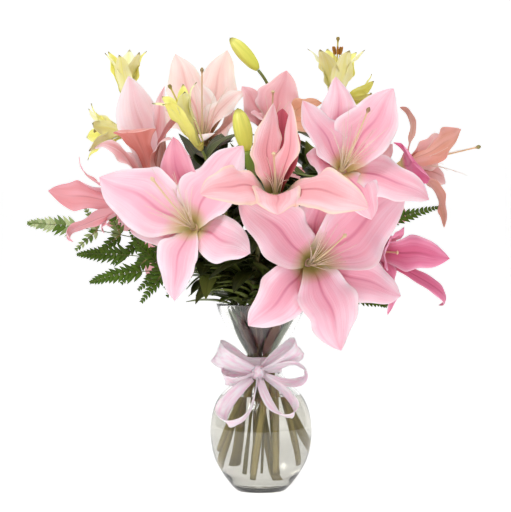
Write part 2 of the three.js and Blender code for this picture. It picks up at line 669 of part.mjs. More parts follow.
// A frond: one thin arched sheet cut into leaflets down to its rib, on a round stalk.
function fernFrond(frond) {
  const end = radians(frond.end[0]);
  const rise = radians(frond.end[1]);
  const toward = new THREE.Vector3(
    Math.cos(end) * Math.cos(rise),
    Math.sin(end) * Math.cos(rise),
    Math.sin(rise),
  );
  const bent = bentPart(
    fernPoint(frond, BEND_HEIGHT),
    fernPoint(frond, NECK_HEIGHT),
    point(frond.tip),
    toward,
    frond.ease ?? [0.15, 0.4],
  );
  const face = point(frond.face).normalize();
  const first = frond.first ?? 0.36;
  const points = [];
  const normals = [];
  const triangles = [];
  const put = (place, normal) => {
    points.push(place);
    normals.push(normal);
    return points.length - 1;
  };
  const spacing = (1 - first) / (frond.pairs + 0.4);
  const leafRoom = [0, 0.72];
  let previous = null;
  for (let k = 0; k < frond.pairs; k += 1) {
    const stations = leafRoom.map((part) => {
      const share = first + (k + part) * spacing;
      const ahead = bent.getTangent(share);
      const side = ahead.clone().cross(face).normalize();
      const normal = side.clone().cross(ahead).normalize();
      const middle = bent.getPoint(share);
      const rib = 1 - 0.5 * share;
      const left = put(middle.clone().addScaledVector(side, -rib), normal);
      const right = put(middle.clone().addScaledVector(side, rib), normal);
      return { ahead, side, normal, middle, left, right };
    });
    const [near, far] = stations;
    if (previous) {
      triangles.push([previous.left, previous.right, near.right]);
      triangles.push([previous.left, near.right, near.left]);
    }
    triangles.push([near.left, near.right, far.right], [near.left, far.right, far.left]);
    const fall = k / frond.pairs;
    const length = frond.reach * (1 - 0.72 * fall ** 1.3) * (k === 0 ? 0.75 : 1);
    const chord = far.middle.distanceTo(near.middle);
    for (const hand of [-1, 1]) {
      const along = near.ahead.clone().multiplyScalar(0.62)
        .addScaledVector(near.side, 0.78 * hand);
      let lower = hand < 0 ? near.left : near.right;
      let upper = hand < 0 ? far.left : far.right;
      for (let r = 1; r <= frond.rows; r += 1) {
        const u = r / (frond.rows + 1);
        const width = chord * (r % 2 === 1 ? 1.05 : 0.6) * (1 - 0.55 * u);
        const middle = near.middle.clone().addScaledVector(near.ahead, chord / 2)
          .addScaledVector(along, u * length)
          .addScaledVector(near.normal, -0.16 * length * u * u);
        const a = put(middle.clone().addScaledVector(near.ahead, -width / 2), near.normal);
        const b = put(middle.clone().addScaledVector(near.ahead, width / 2), near.normal);
        if (hand < 0) triangles.push([lower, upper, b], [lower, b, a]);
        else triangles.push([upper, lower, a], [upper, a, b]);
        lower = a;
        upper = b;
      }
      const tip = put(near.middle.clone().addScaledVector(near.ahead, chord / 2)
        .addScaledVector(along, length)
        .addScaledVector(near.normal, -0.16 * length), near.normal);
      triangles.push(hand < 0 ? [lower, upper, tip] : [upper, lower, tip]);
    }
    previous = far;
  }
  const tip = put(point(frond.tip), previous.normal);
  triangles.push([previous.left, previous.right, tip]);
  const upper = [0, 0.25, 0.5, 0.75, 1].map((t) => bent.getPoint(t * (first + 0.04)));
  const stalk = [fernPoint(frond, FERN_FOOT), ...upper];
  return fused([
    sheet(points, normals, triangles, FROND_THICK),
    tube(stalk, stalk.map(() => FERN_RADIUS), 4),
  ]);
}

// ---------------------------------------------------------------- ribbon

// One loop of ribbon: a strip that leaves the knot, turns at the far end and comes back. Its
// face turns from one angle to another on the way.
function ribbonLoop(loop) {
  const [bearing, length, opening, width, turnStart, turnEnd, lean, fall, roll] = loop;
  const out = new THREE.Vector3(Math.cos(radians(bearing)), -lean, Math.sin(radians(bearing)));
  out.normalize();
  const inward = new THREE.Vector3(0, 1, 0);
  const depth = new THREE.Vector3(0, -1, 0).addScaledVector(out, out.y).normalize();
  depth.applyAxisAngle(out, radians(roll));
  const flat = out.clone().cross(depth);
  const steps = 7;
  const front = [];
  const back = [];
  for (let i = 0; i <= steps; i += 1) {
    const t = 0.04 + (0.92 * i) / steps;
    const turn = Math.PI * t;
    const middle = point(KNOT.at)
      .addScaledVector(out, length * Math.sin(turn))
      .addScaledVector(flat, (opening / 2) * Math.sin(2 * turn))
      .addScaledVector(inward, fall * Math.sin(turn) ** 2);
    const along = out.clone().multiplyScalar(length * Math.cos(turn))
      .addScaledVector(flat, opening * Math.cos(2 * turn))
      .normalize();
    const aside = along.clone().cross(depth).normalize();
    const angle = radians(turnStart + (turnEnd - turnStart) * t);
    const across = depth.clone().multiplyScalar(Math.cos(angle))
      .addScaledVector(aside, Math.sin(angle));
    const normal = along.clone().cross(across).normalize();
    const narrow = (width / 2) * (0.35 + 0.65 * Math.sin(turn));
    const frontRow = [];
    const backRow = [];
    for (const v of [-1, 1]) {
      const skin = middle.clone().addScaledVector(across, v * narrow);
      frontRow.push(skin.clone().addScaledVector(normal, RIBBON_THICK / 2));
      backRow.push(skin.clone().addScaledVector(normal, -RIBBON_THICK / 2));
    }
    front.push(frontRow);
    back.push(backRow);
  }
  return blade(front, back);
}

function ribbonBow() {
  const [low, high] = [BAND[0][1], BAND[BAND.length - 1][1]];
  const outer = BAND.map(([radius, z]) => [radius + BAND_THICK, z]);
  const hole = [[BAND[0][0], low - 1], ...BAND.slice(1, -1), [BAND[BAND.length - 1][0], high + 1]];
  const band = spun([[0, low], ...outer, [0, high]], VASE_SIDES, ORIGIN, UP)
    .subtract(spun([[0, low - 1], ...hole, [0, high + 1]], VASE_SIDES, ORIGIN, UP));
  const ball = Manifold.sphere(1, 8).scale(KNOT.size).translate(KNOT.at);
  return fused([band, ball, ...LOOPS.map(ribbonLoop)]);
}

// ---------------------------------------------------------------- vase and water

function cutProfile(profile, height, inset) {
  const cut = profile.map(([radius, z]) => [Math.max(radius - inset, 0), z]);
  const below = cut.filter(([, z]) => z < height);
  const above = cut[below.length];
  const last = below[below.length - 1];
  const share = (height - last[1]) / (above[1] - last[1]);
  return [...below, [last[0] + share * (above[0] - last[0]), height], [0, height]];
}

function glassVase() {
  const outside = spun([...VASE_OUTSIDE, [0, 187]], VASE_SIDES, ORIGIN, UP);
  return outside.subtract(spun([...VASE_INSIDE, [0, 188]], VASE_SIDES, ORIGIN, UP));
}

function stemHole(pointAt, foot, radius) {
  const around = (radius + 0.1) / Math.cos(Math.PI / HOLE_SIDES);
  return tube([pointAt(foot - AIR), pointAt(WATER_LEVEL + 5)], [around, around], HOLE_SIDES);
}

function water() {
  const profile = cutProfile(VASE_INSIDE, WATER_LEVEL, AIR);
  profile[0] = [0, VASE_INSIDE[0][1] + AIR];
  profile[1] = [profile[1][0], VASE_INSIDE[0][1] + AIR];
  const holes = [];
  for (const stem of Object.values(STEMS)) {
    holes.push(stemHole((z) => lilyPoint(stem, z), stem.foot, LILY_RADIUS));
  }
  for (const frond of Object.values(FRONDS)) {
    holes.push(stemHole((z) => fernPoint(frond, z), FERN_FOOT, FERN_RADIUS));
  }
  return spun(profile, VASE_SIDES, ORIGIN, UP).subtract(Manifold.union(holes)).simplify(0.02);
}

// ---------------------------------------------------------------- the group

const LOOKS = {
  petal: { color: 0xf7b9c6, roughness: 0.55 },
  filament: { color: 0xe9dcb4, roughness: 0.6 },
  yellow: { color: 0xe9e27a, roughness: 0.6 },
  stem: { color: 0x5f7a35, roughness: 0.7 },
  fern: { color: 0x55702c, roughness: 0.7 },
  glass: { color: 0xdfe7e4, roughness: 0.05, transparent: true, opacity: 0.35 },
  water: { color: 0xdfe4d8, roughness: 0.05, transparent: true, opacity: 0.4 },
  ribbon: { color: 0xf1c7d8, roughness: 0.4 },
};

const bouquet = new THREE.Group();
bouquet.name = 'lilies_in_vase';

function add(name, shape, look) {
  const mesh = shape.getMesh();
  const geometry = new THREE.BufferGeometry();
  geometry.setAttribute('position', new THREE.BufferAttribute(new Float32Array(mesh.vertProperties), 3));
  geometry.setIndex(Array.from(mesh.triVerts));
  geometry.computeVertexNormals();
  const node = new THREE.Mesh(geometry, new THREE.MeshStandardMaterial(LOOKS[look]));
  node.name = name;
  bouquet.add(node);
}

add('vase', glassVase(), 'glass');
add('water', water(), 'water');
for (const [name, bloom] of Object.entries(PINK_LILIES)) {
  add(`lily_${name}_petals`, pinkLily(bloom), 'petal');
  add(`lily_${name}_stamens`, lilyStamens(bloom), 'filament');
}
for (const [name, bloom] of Object.entries(YELLOW_LILIES)) {
  add(`lily_${name}`, yellowLily(bloom), 'yellow');
}
for (const [name, bud] of Object.entries(BUDS)) add(`bud_${name}`, closedBud(bud), 'yellow');
for (const [name, stem] of Object.entries(STEMS)) add(`stem_${name}`, lilyStem(stem), 'stem');
for (const [name, frond] of Object.entries(FRONDS)) add(`frond_${name}`, fernFrond(frond), 'fern');
add('ribbon', ribbonBow(), 'ribbon');

export default bouquet;
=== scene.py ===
"""Lilies in a glass vase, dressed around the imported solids.

Every shape is worked out in millimetres in the frame of the solids and put into the mesh in
metres. Most of them are lofts: rings of points, one for each step along a path, joined in order.
"""

import math

import bpy
import numpy as np
from bpy.props import FloatProperty, FloatVectorProperty, IntProperty, PointerProperty
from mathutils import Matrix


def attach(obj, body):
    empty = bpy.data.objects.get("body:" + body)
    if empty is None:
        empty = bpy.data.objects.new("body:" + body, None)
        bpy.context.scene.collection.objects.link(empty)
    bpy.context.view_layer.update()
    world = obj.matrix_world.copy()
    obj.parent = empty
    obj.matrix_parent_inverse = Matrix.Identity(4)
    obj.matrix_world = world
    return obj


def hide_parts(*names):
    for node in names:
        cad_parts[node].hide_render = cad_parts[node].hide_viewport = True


bl_info = {
    "name": "Lilies in a vase",
    "version": (1, 0, 0),
    "blender": (4, 5, 0),
    "location": "3D View > Sidebar > Bouquet",
    "description": "Builds a bouquet of lilies and fern in a glass vase with a satin bow",
    "category": "Add Mesh",
}

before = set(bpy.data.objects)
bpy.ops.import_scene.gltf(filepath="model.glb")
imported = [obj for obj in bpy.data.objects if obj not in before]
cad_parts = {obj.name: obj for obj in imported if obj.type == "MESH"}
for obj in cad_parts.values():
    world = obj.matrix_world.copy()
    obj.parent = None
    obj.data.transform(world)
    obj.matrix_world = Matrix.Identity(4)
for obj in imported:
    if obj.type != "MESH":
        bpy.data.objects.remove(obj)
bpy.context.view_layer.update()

MM = 0.001
UP = np.array([0.0, 0.0, 1.0])

# ---------------------------------------------------------------- sizes, in millimetres

# Vase: [radius, height] from the middle of the foot to the lip, outside and inside.
VASE_OUTSIDE = [
    [0, 0], [23, 0], [29, 5], [38, 17], [47, 34], [51, 57], [49, 77], [42, 94], [30, 107],
    [19.5, 118.5], [17.5, 125], [20, 137], [31, 156], [41, 176], [45, 187],
]
VASE_INSIDE = [
    [0, 9], [24, 9], [35, 17.5], [44, 35], [48, 57], [46, 76.5], [39.2, 92.5], [27.6, 105],
    [17, 117], [15, 125], [17.2, 138], [28.3, 157.5], [38.5, 177], [43, 187],
]
VASE_FOOT = [[0.05, 0.9], [19, 0.6], [20.5, 0.0], [22.5, 0.0], [25, 1.2]]
VASE_LIP = [44.9, 187.0]
VASE_AROUND = 96

# Water: its level, how far it reaches into the glass so that no air shows between the two, the
# width and drop of the surface where it climbs the wall, and its drop at the middle.
WATER_LEVEL = 95
WATER_OVERLAP = 0.12
WATER_EDGE = (2.5, 0.7)
WATER_DROP = 0.8

# Stems stand in the neck as the straight lines of one hyperboloid, so none of them cross.
NECK_HEIGHT = 128
BEND_HEIGHT = 190
LILY_RING = 10.8
LILY_RADIUS = 3.1
FERN_RING = 4.6
FERN_LEAN = 0.12
FERN_FOOT = 24
# A stem passes the neck so many degrees short of where it heads.
NECK_TURN = 75
AIR = 0.35
# How far a curve runs on straight at its start and at its end, as shares of its span.
STEM_EASE = (0.4, 0.35)
SIDE_EASE = (0.35, 0.35)
FERN_EASE = (0.15, 0.4)
BENT_ROWS = 40

# Petals.
INNER_CUP = 0.5
OUTER_CUP = 0.12
LAYER_GAP = 2.1
LAYER_STEP = 0.1
PETAL_ROWS = 40
PETAL_AROUND = 32
PINK_ROOT = 4
YELLOW_ROOT = 2.2
# Greatest half width of a petal for each millimetre from the bloom's axis.
PINK_TUBE = 1.35
YELLOW_TUBE = 1.1

# Petals: [clock, reach, forward, width, curl, sway, twist, cup], inner and outer by turns. The
# clock angle is seen by someone facing the bloom; reach is the tip's distance from the bloom's
# axis and forward its distance along that axis; curl turns the tip outwards.


def whorl(first, reach, forward, width, curl, narrow):
    """Six like petals, 60 degrees apart: the outer ones narrower, the inner ones shorter."""
    petals = []
    for i in range(6):
        inner = i % 2 == 0
        across = width if inner else width * narrow
        petals.append([first + 60 * i, reach * 0.93 if inner else reach, forward, across, curl])
    return petals


# Pink lilies: at is the throat, az the facing (0 towards -Y, 90 towards +X), el the tilt up;
# stigma is [az, el, distance] of the pistil's end from the throat.
PINK_LILIES = {
    "a": {
        "at": [45, -84, 228], "az": 18, "el": 0, "filaments": 6, "stigma": [38, 26, 62],
        "petals": [
            [-50, 96, 14, 56, 20], [4, 80, 24, 46, 10], [51, 122, 16, 70, 20],
            [109, 101, 6, 46, 30], [162, 88, 18, 58, 25], [227, 88, 12, 50, 40],
        ],
    },
    "b": {
        "at": [76, -98, 315], "az": 12, "el": 24, "filaments": 6, "stigma": [30, 50, 75],
        "petals": [
            [-42, 64, 50, 38, 0], [-7, 72, 52, 42, -5], [36, 76, 52, 54, 5],
            [112, 88, 8, 44, 40], [156, 58, 4, 36, 50, 0, 0, 0.1], [-74, 38, 14, 34, 40],
        ],
    },
    "c": {
        "at": [13, -132, 291], "az": 0, "el": 50, "from": [0, -25], "filaments": 3,
        "stigma": [-4, 54, 48],
        "petals": [
            [-50, 26, 76, 42, -10, 30, 0, -0.5], [8, 44, 66, 40, -20, 0, 0, 0.6],
            [60, 34, 72, 26, -10, -33, 0, 0.6], [122, 97, 28, 48, 25, 0, 35], [178, 46, 14, 44, 50],
            [-116, 76, 28, 46, 35, 0, -35],
        ],
    },
    "d": {
        "at": [-64, -92, 262], "az": -18, "el": 14, "filaments": 6, "stigma": [-45, 40, 72],
        "petals": [
            [-65, 98, 34, 64, 15], [-14, 86, 26, 38, 20, 0, 0, 0.3], [38, 88, 34, 56, 15],
            [114, 66, 4, 46, 55], [191, 76, 14, 40, 40, -6], [-98, 58, 20, 38, 10],
        ],
    },
    "e": {
        "at": [-128, -20, 286], "az": -86, "el": 2, "filaments": 0, "stigma": [-86, 2, 22],
        "petals": [
            [66, 22, 82, 40, 12], [146, 50, 58, 24, 100], [190, 30, 26, 24, 100],
            [240, 30, 10, 26, 70], [300, 44, 60, 24, 50], [0, 44, 56, 26, 40],
        ],
    },
    "f": {
        "at": [-104, -14, 300], "az": -25, "el": 62, "filaments": 0, "stigma": [-25, 62, 20],
        "petals": [
            [175, 32, 80, 78, 60, 0, 0, 0.2], [-112, 50, 60, 36, 60], [-30, 30, 112, 52, 0],
            [20, 40, 96, 26, 20], [60, 44, 76, 32, 40], [100, 34, 60, 28, 60],
        ],
    },
    "g": {
        "at": [-60, 50, 350], "az": 0, "el": 52, "filaments": 3, "stigma": [0, 80, 78],
        "petals": [
            [-20, 82, 62, 46, 10], [16, 88, 62, 48, 5], [70, 50, 54, 32, 50],
            [98, 52, 32, 34, 90], [180, 40, 30, 34, 60], [-80, 60, 40, 36, 50],
        ],
    },
    "i": {
        "at": [10, 36, 358], "az": 5, "el": 48, "filaments": 3, "stigma": [5, 60, 50],
        "petals": [
            [20, 48, 48, 46, 15], [80, 52, 36, 30, 60], [122, 56, 30, 38, 60],
            [180, 46, 20, 26, 60], [-108, 24, 34, 22, 50], [-46, 40, 42, 34, 20],
        ],
    },
    "j": {
        "at": [142, 0, 324], "az": 80, "el": 16, "filaments": 3, "stigma": [80, 14, 80],
        "petals": [
            [-52, 26, 68, 46, 15], [6, 60, 14, 20, 68, 0, 40], [60, 40, 46, 34, 40],
            [120, 50, 34, 28, 50], [190, 72, 24, 28, 45, 0, -40], [-92, 36, 14, 54, 60, 0, 30],
        ],
    },
    "k": {
        "at": [106, -28, 240], "az": 62, "el": -4, "filaments": 0, "stigma": [62, -4, 32],
        "petals": [
            [78, 40, 70, 36, 30, 12], [128, 86, 52, 16, 90], [180, 62, 26, 30, 50],
            [-120, 28, 30, 24, 60], [-50, 24, 30, 24, 60], [16, 26, 34, 22, 50],
        ],
    },
    "m": {
        "at": [74, 92, 292], "az": 150, "el": 14, "filaments": 3, "stigma": [150, 14, 60],
        "petals": whorl(10, 84, 34, 44, 35, 0.72),
    },
    "n": {
        "at": [-74, 96, 276], "az": -150, "el": 10, "filaments": 3, "stigma": [-150, 10, 60],
        "petals": whorl(40, 84, 34, 44, 35, 0.72),
    },
}

# Small yellow-green lilies, not yet fully open, each with its own pistil.
YELLOW_LILIES = {
    "y1": {
        "at": [-138, 60, 396], "az": -10, "el": 78,
        "petals": whorl(0, 22, 50, 22, 20, 0.8), "pistil": 40,
    },
    "y2": {
        "at": [-136, 30, 360], "az": -80, "el": 2,
        "petals": whorl(20, 30, 40, 21, 30, 0.8), "pistil": 34,
    },
    "y3": {
        "at": [-60, -58, 342], "az": -60, "el": 60,
        "petals": whorl(-30, 24, 58, 22, 45, 0.8), "pistil": 66,
    },
    "y4": {
        "at": [76, 40, 388], "az": 20, "el": 84,
        "petals": whorl(0, 30, 58, 29, 30, 0.8), "pistil": 70,
    },
    "y5": {
        "at": [88, 76, 398], "az": 90, "el": 10,
        "petals": whorl(0, 22, 32, 16, 30, 0.8), "pistil": 28,
    },
}

# Where a stalk meets a bloom: middle of the bloom's back behind its throat, depth of the back
# from there, and the stalk's radius; and the radius of a bud's stalk.
PINK_SEAT = (3, 5.65, 2.1)
YELLOW_SEAT = (2, 3.65, 1.6)
BUD_STALK = 1.7

# Closed buds: at is the foot of the bud, to its tip.
BUDS = {
    "b1": {"at": [-3, 55, 426], "to": [-32, 55, 459], "radius": 8},
    "b2": {"at": [-14, -70, 335], "to": [-23, -70, 377], "radius": 9.5},
}

# Lily stems: bearing is where each one heads, lean its sideways travel in the vase and foot the
# height of its cut end. The first head ends the stem and the others leave it at the given
# share of its bent part. Leaves: [height in the vase, or share of the bent part, bearing,
# length, rise at the root, rise at the tip, width].
STEMS = {
    "s0": {
        "bearing": -10, "lean": 0.45, "foot": 42, "heads": [["j", 1], ["k", 0.15]],
        "leaves": [[150, -47, 45, 66, 56, 12], [0.3, -62, 50, 0, -30, 18]],
    },
    "s1": {
        "bearing": -55, "lean": 0.3, "foot": 24, "heads": [["b", 1], ["a", 0.2]],
        "leaves": [[150, -86, 45, 66, 56, 9], [0.12, -45, 60, 20, -10, 16], [0.3, -88, 46, 10, -30, 16]],
    },
    "s2": {
        "bearing": -100, "lean": 0.4, "foot": 34, "heads": [["c", 1], ["b2", 0.5]],
        "leaves": [
            [150, -140, 45, 66, 56, 12], [0.18, -112, 58, 4, -34, 20], [0.26, -142, 62, 0, -30, 20],
            [0.36, -100, 56, 14, -30, 18],
        ],
    },
    "s3": {
        "bearing": -145, "lean": 0.25, "foot": 18, "heads": [["y3", 1], ["d", 0.25]],
        "leaves": [
            [150, -168, 45, 66, 56, 9], [0.28, -176, 60, 26, -20, 16], [0.34, -138, 62, 16, -40, 18],
            [0.42, 175, 60, 10, -30, 18],
        ],
    },
    "s4": {
        "bearing": 175, "lean": 0.42, "foot": 36, "heads": [["f", 1], ["e", 0.4], ["y2", 0.7]],
        "leaves": [[150, 137, 45, 66, 56, 12]],
    },
    "s5": {
        "bearing": 125, "lean": 0.35, "foot": 30, "heads": [["g", 1], ["n", 0.2], ["y1", 0.5]],
        "leaves": [[150, 84, 45, 66, 56, 12], [0.25, 150, 64, 20, -30, 15]],
    },
    "s6": {
        "bearing": 80, "lean": 0.28, "foot": 22, "heads": [["i", 1], ["b1", 0.5]],
        "leaves": [[150, 33, 45, 66, 56, 12], [0.3, 95, 64, 30, -20, 15], [0.45, 60, 60, 20, -20, 14]],
    },
    "s7": {
        "bearing": 35, "lean": 0.22, "foot": 16, "heads": [["y4", 1], ["m", 0.25], ["y5", 0.75]],
        "leaves": [[0.2, 35, 64, 20, -30, 15]],
    },
}

# Fern fronds: bearing steers them out between two lily stems; tip is the end of the frond, end
# its [bearing, rise] there, face the way its upper side looks, reach its longest leaflet.
FRONDS = {
    "a": {
        "bearing": 150, "tip": [-237, 32, 268], "end": [180, 2],
        "face": [-0.1, -0.95, 0.3], "reach": 48, "pairs": 8,
    },
    "b": {
        "bearing": 198, "first": 0.45, "tip": [-183, -6, 236], "end": [182, -4],
        "face": [-0.15, -0.9, 0.4], "reach": 48, "pairs": 5,
    },
    "c": {
        "bearing": -104, "first": 0.5, "tip": [-165, -64, 209], "end": [205, -20],
        "face": [-0.2, -0.95, 0.3], "reach": 44, "pairs": 4,
    },
    "d": {
        "bearing": -68, "tip": [-6, -86, 204], "end": [235, -10],
        "face": [-0.2, -0.9, 0.4], "reach": 40, "pairs": 4,
    },
    "e": {
        "bearing": -34, "tip": [122, -50, 186], "end": [-20, -20],
        "face": [0.1, -0.9, 0.4], "reach": 40, "pairs": 4,
    },
    "f": {
        "bearing": 17, "tip": [180, 25, 284], "end": [8, 12],
        "face": [0.1, -0.85, 0.5], "reach": 32, "pairs": 6,
    },
    "g": {
        "bearing": 107, "tip": [-20, 150, 225], "end": [95, -20],
        "face": [0, 0.3, 0.95], "reach": 34, "pairs": 5,
    },
    "h": {
        "bearing": 57, "tip": [110, 130, 215], "end": [50, -20],
        "face": [0.2, 0.3, 0.9], "reach": 34, "pairs": 5,
    },
}

# Ribbon: a band round the neck, a knot and loops. Loops: [bearing in the view plane, length,
# opening, width, turn of its face at the start and at the end, forward lean, fall back towards
# the glass at the far end, roll of the loop's plane about its length].
RIBBON_THICK = 0.8
BAND = [[20.3, 118.5], [18.1, 125], [20, 134.5]]
BAND_STEPS = 72
KNOT = [-3, -29, 120]
LOOPS = [
    [153, 46, 16, 24, 20, -10, 0.2, 0, 70],
    [188, 36, 14, 18, 30, 10, 0.4, 0, 50],
    [32, 48, 16, 22, 20, -10, 0.2, 0, -60],
    [0, 50, 18, 16, 50, 10, 0.4, 0, 0],
    [238, 80, 24, 20, 60, 0, 1.05, 26, 25],
    [309, 74, 20, 20, 60, 0, 1.05, 26, -20],
]

# Satin: depth of its creases, of its cupped edges as a share of the half width, of the pleats
# at the knot, and how far the pleats reach along a strip as a share of it.
CREASE = 1.1
STRIP_CUP = 0.1
PLEAT = 0.8
PLEAT_REACH = 0.14
# Share of a loop inside the knot at each end, and its width there as a share of its greatest.
KNOT_HIDES = 0.04
KNOT_PINCH = 0.35
# The knot: the line it is turned about, its gathers and their depth, and its profile.
KNOT_AXIS = [0.1, 0, 1]
KNOT_GATHERS = (9, 0.06)
KNOT_PROFILE = [[0.1, -7.6], [4.2, -6.6], [6.6, -2.5], [6.2, 2.5], [4.4, 6.6], [0.1, 7.6]]

# ---------------------------------------------------------------- finer shapes

# Petal outline: width at the claw and place of the greatest width, as shares, and the powers
# with which it closes and rounds its shoulder.
PETAL_CLAW = 0.3
PETAL_WIDEST = 0.45
PETAL_CLOSING = 1.9
PETAL_SHOULDER = 0.8
# A petal leaves its root at this share of its slope; its curve's handles are these shares of
# the distance from root to tip.
PETAL_LEAVE = 0.38
PETAL_HANDLES = (0.34, 0.38)
# Least and most: waves along an edge, and turn of the tip as a share of the petal's length.
EDGE_WAVES = (1.2, 2.4)
INNER_TURN = (0.0, 0.04)
OUTER_TURN = (0.02, 0.06)
# Share of the half width, and waves along the petal: its outline, its midrib and its blade.
OUTLINE_SWELL = (0.03, 3.1)
MIDRIB_SWING = (0.07, 1.7)
BILLOW = (0.4, 1.3)
# Ripple on an edge's waves: its depth and number as shares of theirs.
RIPPLE = (0.35, 2.3)
# How fast the cup of a petal opens and reverses along it.
CUP_FADE = 1.35
# Start and length, as shares of the petal, of the rolled edges and of the turned tip.
EDGE_ROLL = (0.2, 0.5)
TIP_TURN = (0.78, 0.22)
# Half width of the groove along the midrib; depth and half width of the trough round it.
GROOVE_WIDTH = 0.11
TROUGH = (0.07, 0.4)

# Stamens: they rise this far from the throat, bend at this share of their length, and each
# filament of the solids stands for so many.
THROAT_RISE = 2.2
STAMEN_BEND = 0.42
FILAMENT_BUNCH = 3
FILAMENT_REACH = 0.74
FILAMENT_SPREAD = 0.26
FILAMENT_RADII = (0.45, 0.18)
PISTIL_RADII = (0.95, 0.8)
# Swelling at the pistil's end: radius, place along it and half width; it closes by so much
# at its very end, and has three shallow lobes.
KNOB = (1.2, 0.972, 0.022)
KNOB_CLOSING = 0.6
STIGMA_LOBES = 0.12
DISC = [[0.1, 1.55], [2.2, 1.6], [2.7, 2.2], [2.2, 3.0], [0.1, 3.2]]
PINK_CONE = [[0.1, -8.6], [3.6, -7.6], [6.9, 1.0], [0.1, 1.1]]
YELLOW_CONE = [[0.1, -5.6], [2.2, -5.0], [4.6, 0.8], [0.1, 0.9]]

# Leaves: shares of the length and of the greatest width there; fold along the midrib, ripple
# and sideways swing as shares of the width.
LEAF_ROWS = 26
LEAF_PLACES = [0, 0.15, 0.35, 0.6, 0.85, 1]
LEAF_WIDTHS = [0.3, 0.7, 0.98, 0.9, 0.45, 0.03]
LEAF_THICK = 0.8
LEAF_FOLD = 0.22
LEAF_RIPPLE = 0.08
LEAF_SWING = 0.12
# A leaf starts to arch this share of its length before its root.
LEAF_LEAD = 0.16

# Fern leaflets: widths along one as shares of its greatest, its droop as a share of its length,
# the room along a rib for each pair, and the parts of its direction along and across the rib.
LEAFLET_WIDTHS = np.array([0.75, 1.0, 1.0, 0.88, 0.66, 0.38, 0.05])
LEAFLET_DROOP = 0.07
LEAFLET_ROOM = 4.2
LEAFLET_LEAN = (0.66, 0.75)
LEAFLET_TILT = 0.22
LEAFLET_THICK = 0.45
# Side ribs: parts of their direction along and across the main rib, droop as a share of length.
SIDE_RIB_LEAN = (0.62, 0.78)
SIDE_RIB_DROOP = 0.16

# Stigmas that have darkened.
STIGMAS = {"b": "#8a6446", "g": "#8d7a4c", "j": "#75783a"}

# How many anthers show on a small lily: only on the one that is well open.
ANTHERS = {"y4": 5}

# An anther of a small lily: [radius, distance along it]; its place as a share of the pistil's
# length, the radius of the ring they stand in, and how far each leans outwards.
ANTHER = [[0.05, -4.5], [1.0, -3.5], [1.3, 0], [1.0, 3.5], [0.05, 4.5]]
ANTHER_PLACE = 0.8
ANTHER_RING = 4.2
ANTHER_LEAN = 0.25
# Radius of a small lily's pistil, and its knob as for the pink ones.
SMALL_PISTIL = 0.8
SMALL_KNOB = (1.2, 0.97, 0.03)

# Outline of a closed bud: [share of its radius, share of its length].
BUD_SHARES = [
    [0.02, 0], [0.36, 0.02], [0.78, 0.18], [1, 0.48], [0.86, 0.75], [0.45, 0.93], [0.02, 1],
]

# Depth of the three ridges round a bud and round its foot, as shares of the radius, and how
# much slimmer than the solid the bud is to make up for them.
BUD_RIDGES = 0.09
BUD_FOOT_RIDGES = 0.12
BUD_SLIM = 0.95

# The swollen green foot of a bud: [radius, distance from the bud's own foot].
BUD_FEET = {"b2": [[0.05, -24], [2.6, -22], [5.0, -14], [5.4, -7], [4.6, -1], [0.05, 1.5]]}

# The heart of the bunch, where leaves fill the room between the stems: the middle and the
# half axes of four ellipsoids, in millimetres, and how many leaves a stem tries.
HEARTS = [
    (np.array([-62, 0, 340]), np.array([28, 40, 26])),
    (np.array([-26, -24, 204]), np.array([56, 44, 20])),
    (np.array([-30, -14, 226]), np.array([64, 50, 40])),
    (np.array([0, 0, 324]), np.array([58, 46, 54])),
]
HEART_LEAVES = 240
HEART_SHAPE = {"lengths": (40, 70), "rises": (0, 70), "end_rises": (-50, 50), "widths": (16, 24)}

# Material slots of a stem's leaves that stand in the vase's mouth: a pale green lightened as painted
# light against the shade inside the bunch, and an old brown.
LIGHTENED_LEAF = 2
OLD_LEAF = 3

# Swellings along a lily stem: how many, and how high, in millimetres.
STEM_NODES = 9
NODE_SWELL = 0.25

# Leaves of each stem that stand in the vase's mouth: how many, height of the first root and
# step to the next, length of the first and how much shorter each is, width, spread of their
# bearings and rises by turns. Pale green at the sides, their green lightened as painted light
# against the shade inside the bunch; old and brown at the front and back.
TRUMPET_LEAVES = {
    "count": 6, "height": 134, "step": 4, "length": 52, "shorter": 4, "width": 15, "spread": 40,
    "rises": [(59, 64), (68, 80)],
}

# Leaves of each stem that lie over the vase's rim.
COLLAR_LEAVES = {
    "count": 3, "height": 184, "step": 3, "lengths": (40, 52), "rises": (22, 45),
    "end_rises": (-15, 15), "width": 18, "spread": 60,
}

# Share of a frond's bent part where its side ribs start, unless the frond has its own, and
# how many side ribs of the solids the end of the main rib stands in for.
FIRST_PAIR = 0.36
TIP_PAIRS = 2

# Fronds that end in young, paler leaflets.
PALE_TIPS = ("a",)

# ---------------------------------------------------------------- tints and patterns

# Cells of noise from the midrib of a part to its edge, and along it. A petal about 50 mm wide
# has a vein each 2 mm and fine lines each 0.8 mm, a leaf about 16 mm wide a vein each 0.5 mm,
# and the satin a soft crease each 7 mm along its loops.
PETAL_VEINS = (13, 1.6)
PETAL_FLUSH = (2.2, 1.7)
PETAL_LINES = (34, 1.1)
YELLOW_VEINS = (7, 1.5)
STALK_VEINS_ALONG = 1.2
LEAF_PATCHES = (2.5, 2.0)
LEAF_VEINS = (16, 1.0)
SATIN_CREASES = (5, 14)
SATIN_CLOUDS = (3, 7)
# How far the noise of one part lies from that of the next, and how far light sinks into green
# skin in each colour.
TONE_SHIFT = 37
LEAF_LIGHT = (0.5, 0.8, 0.2)

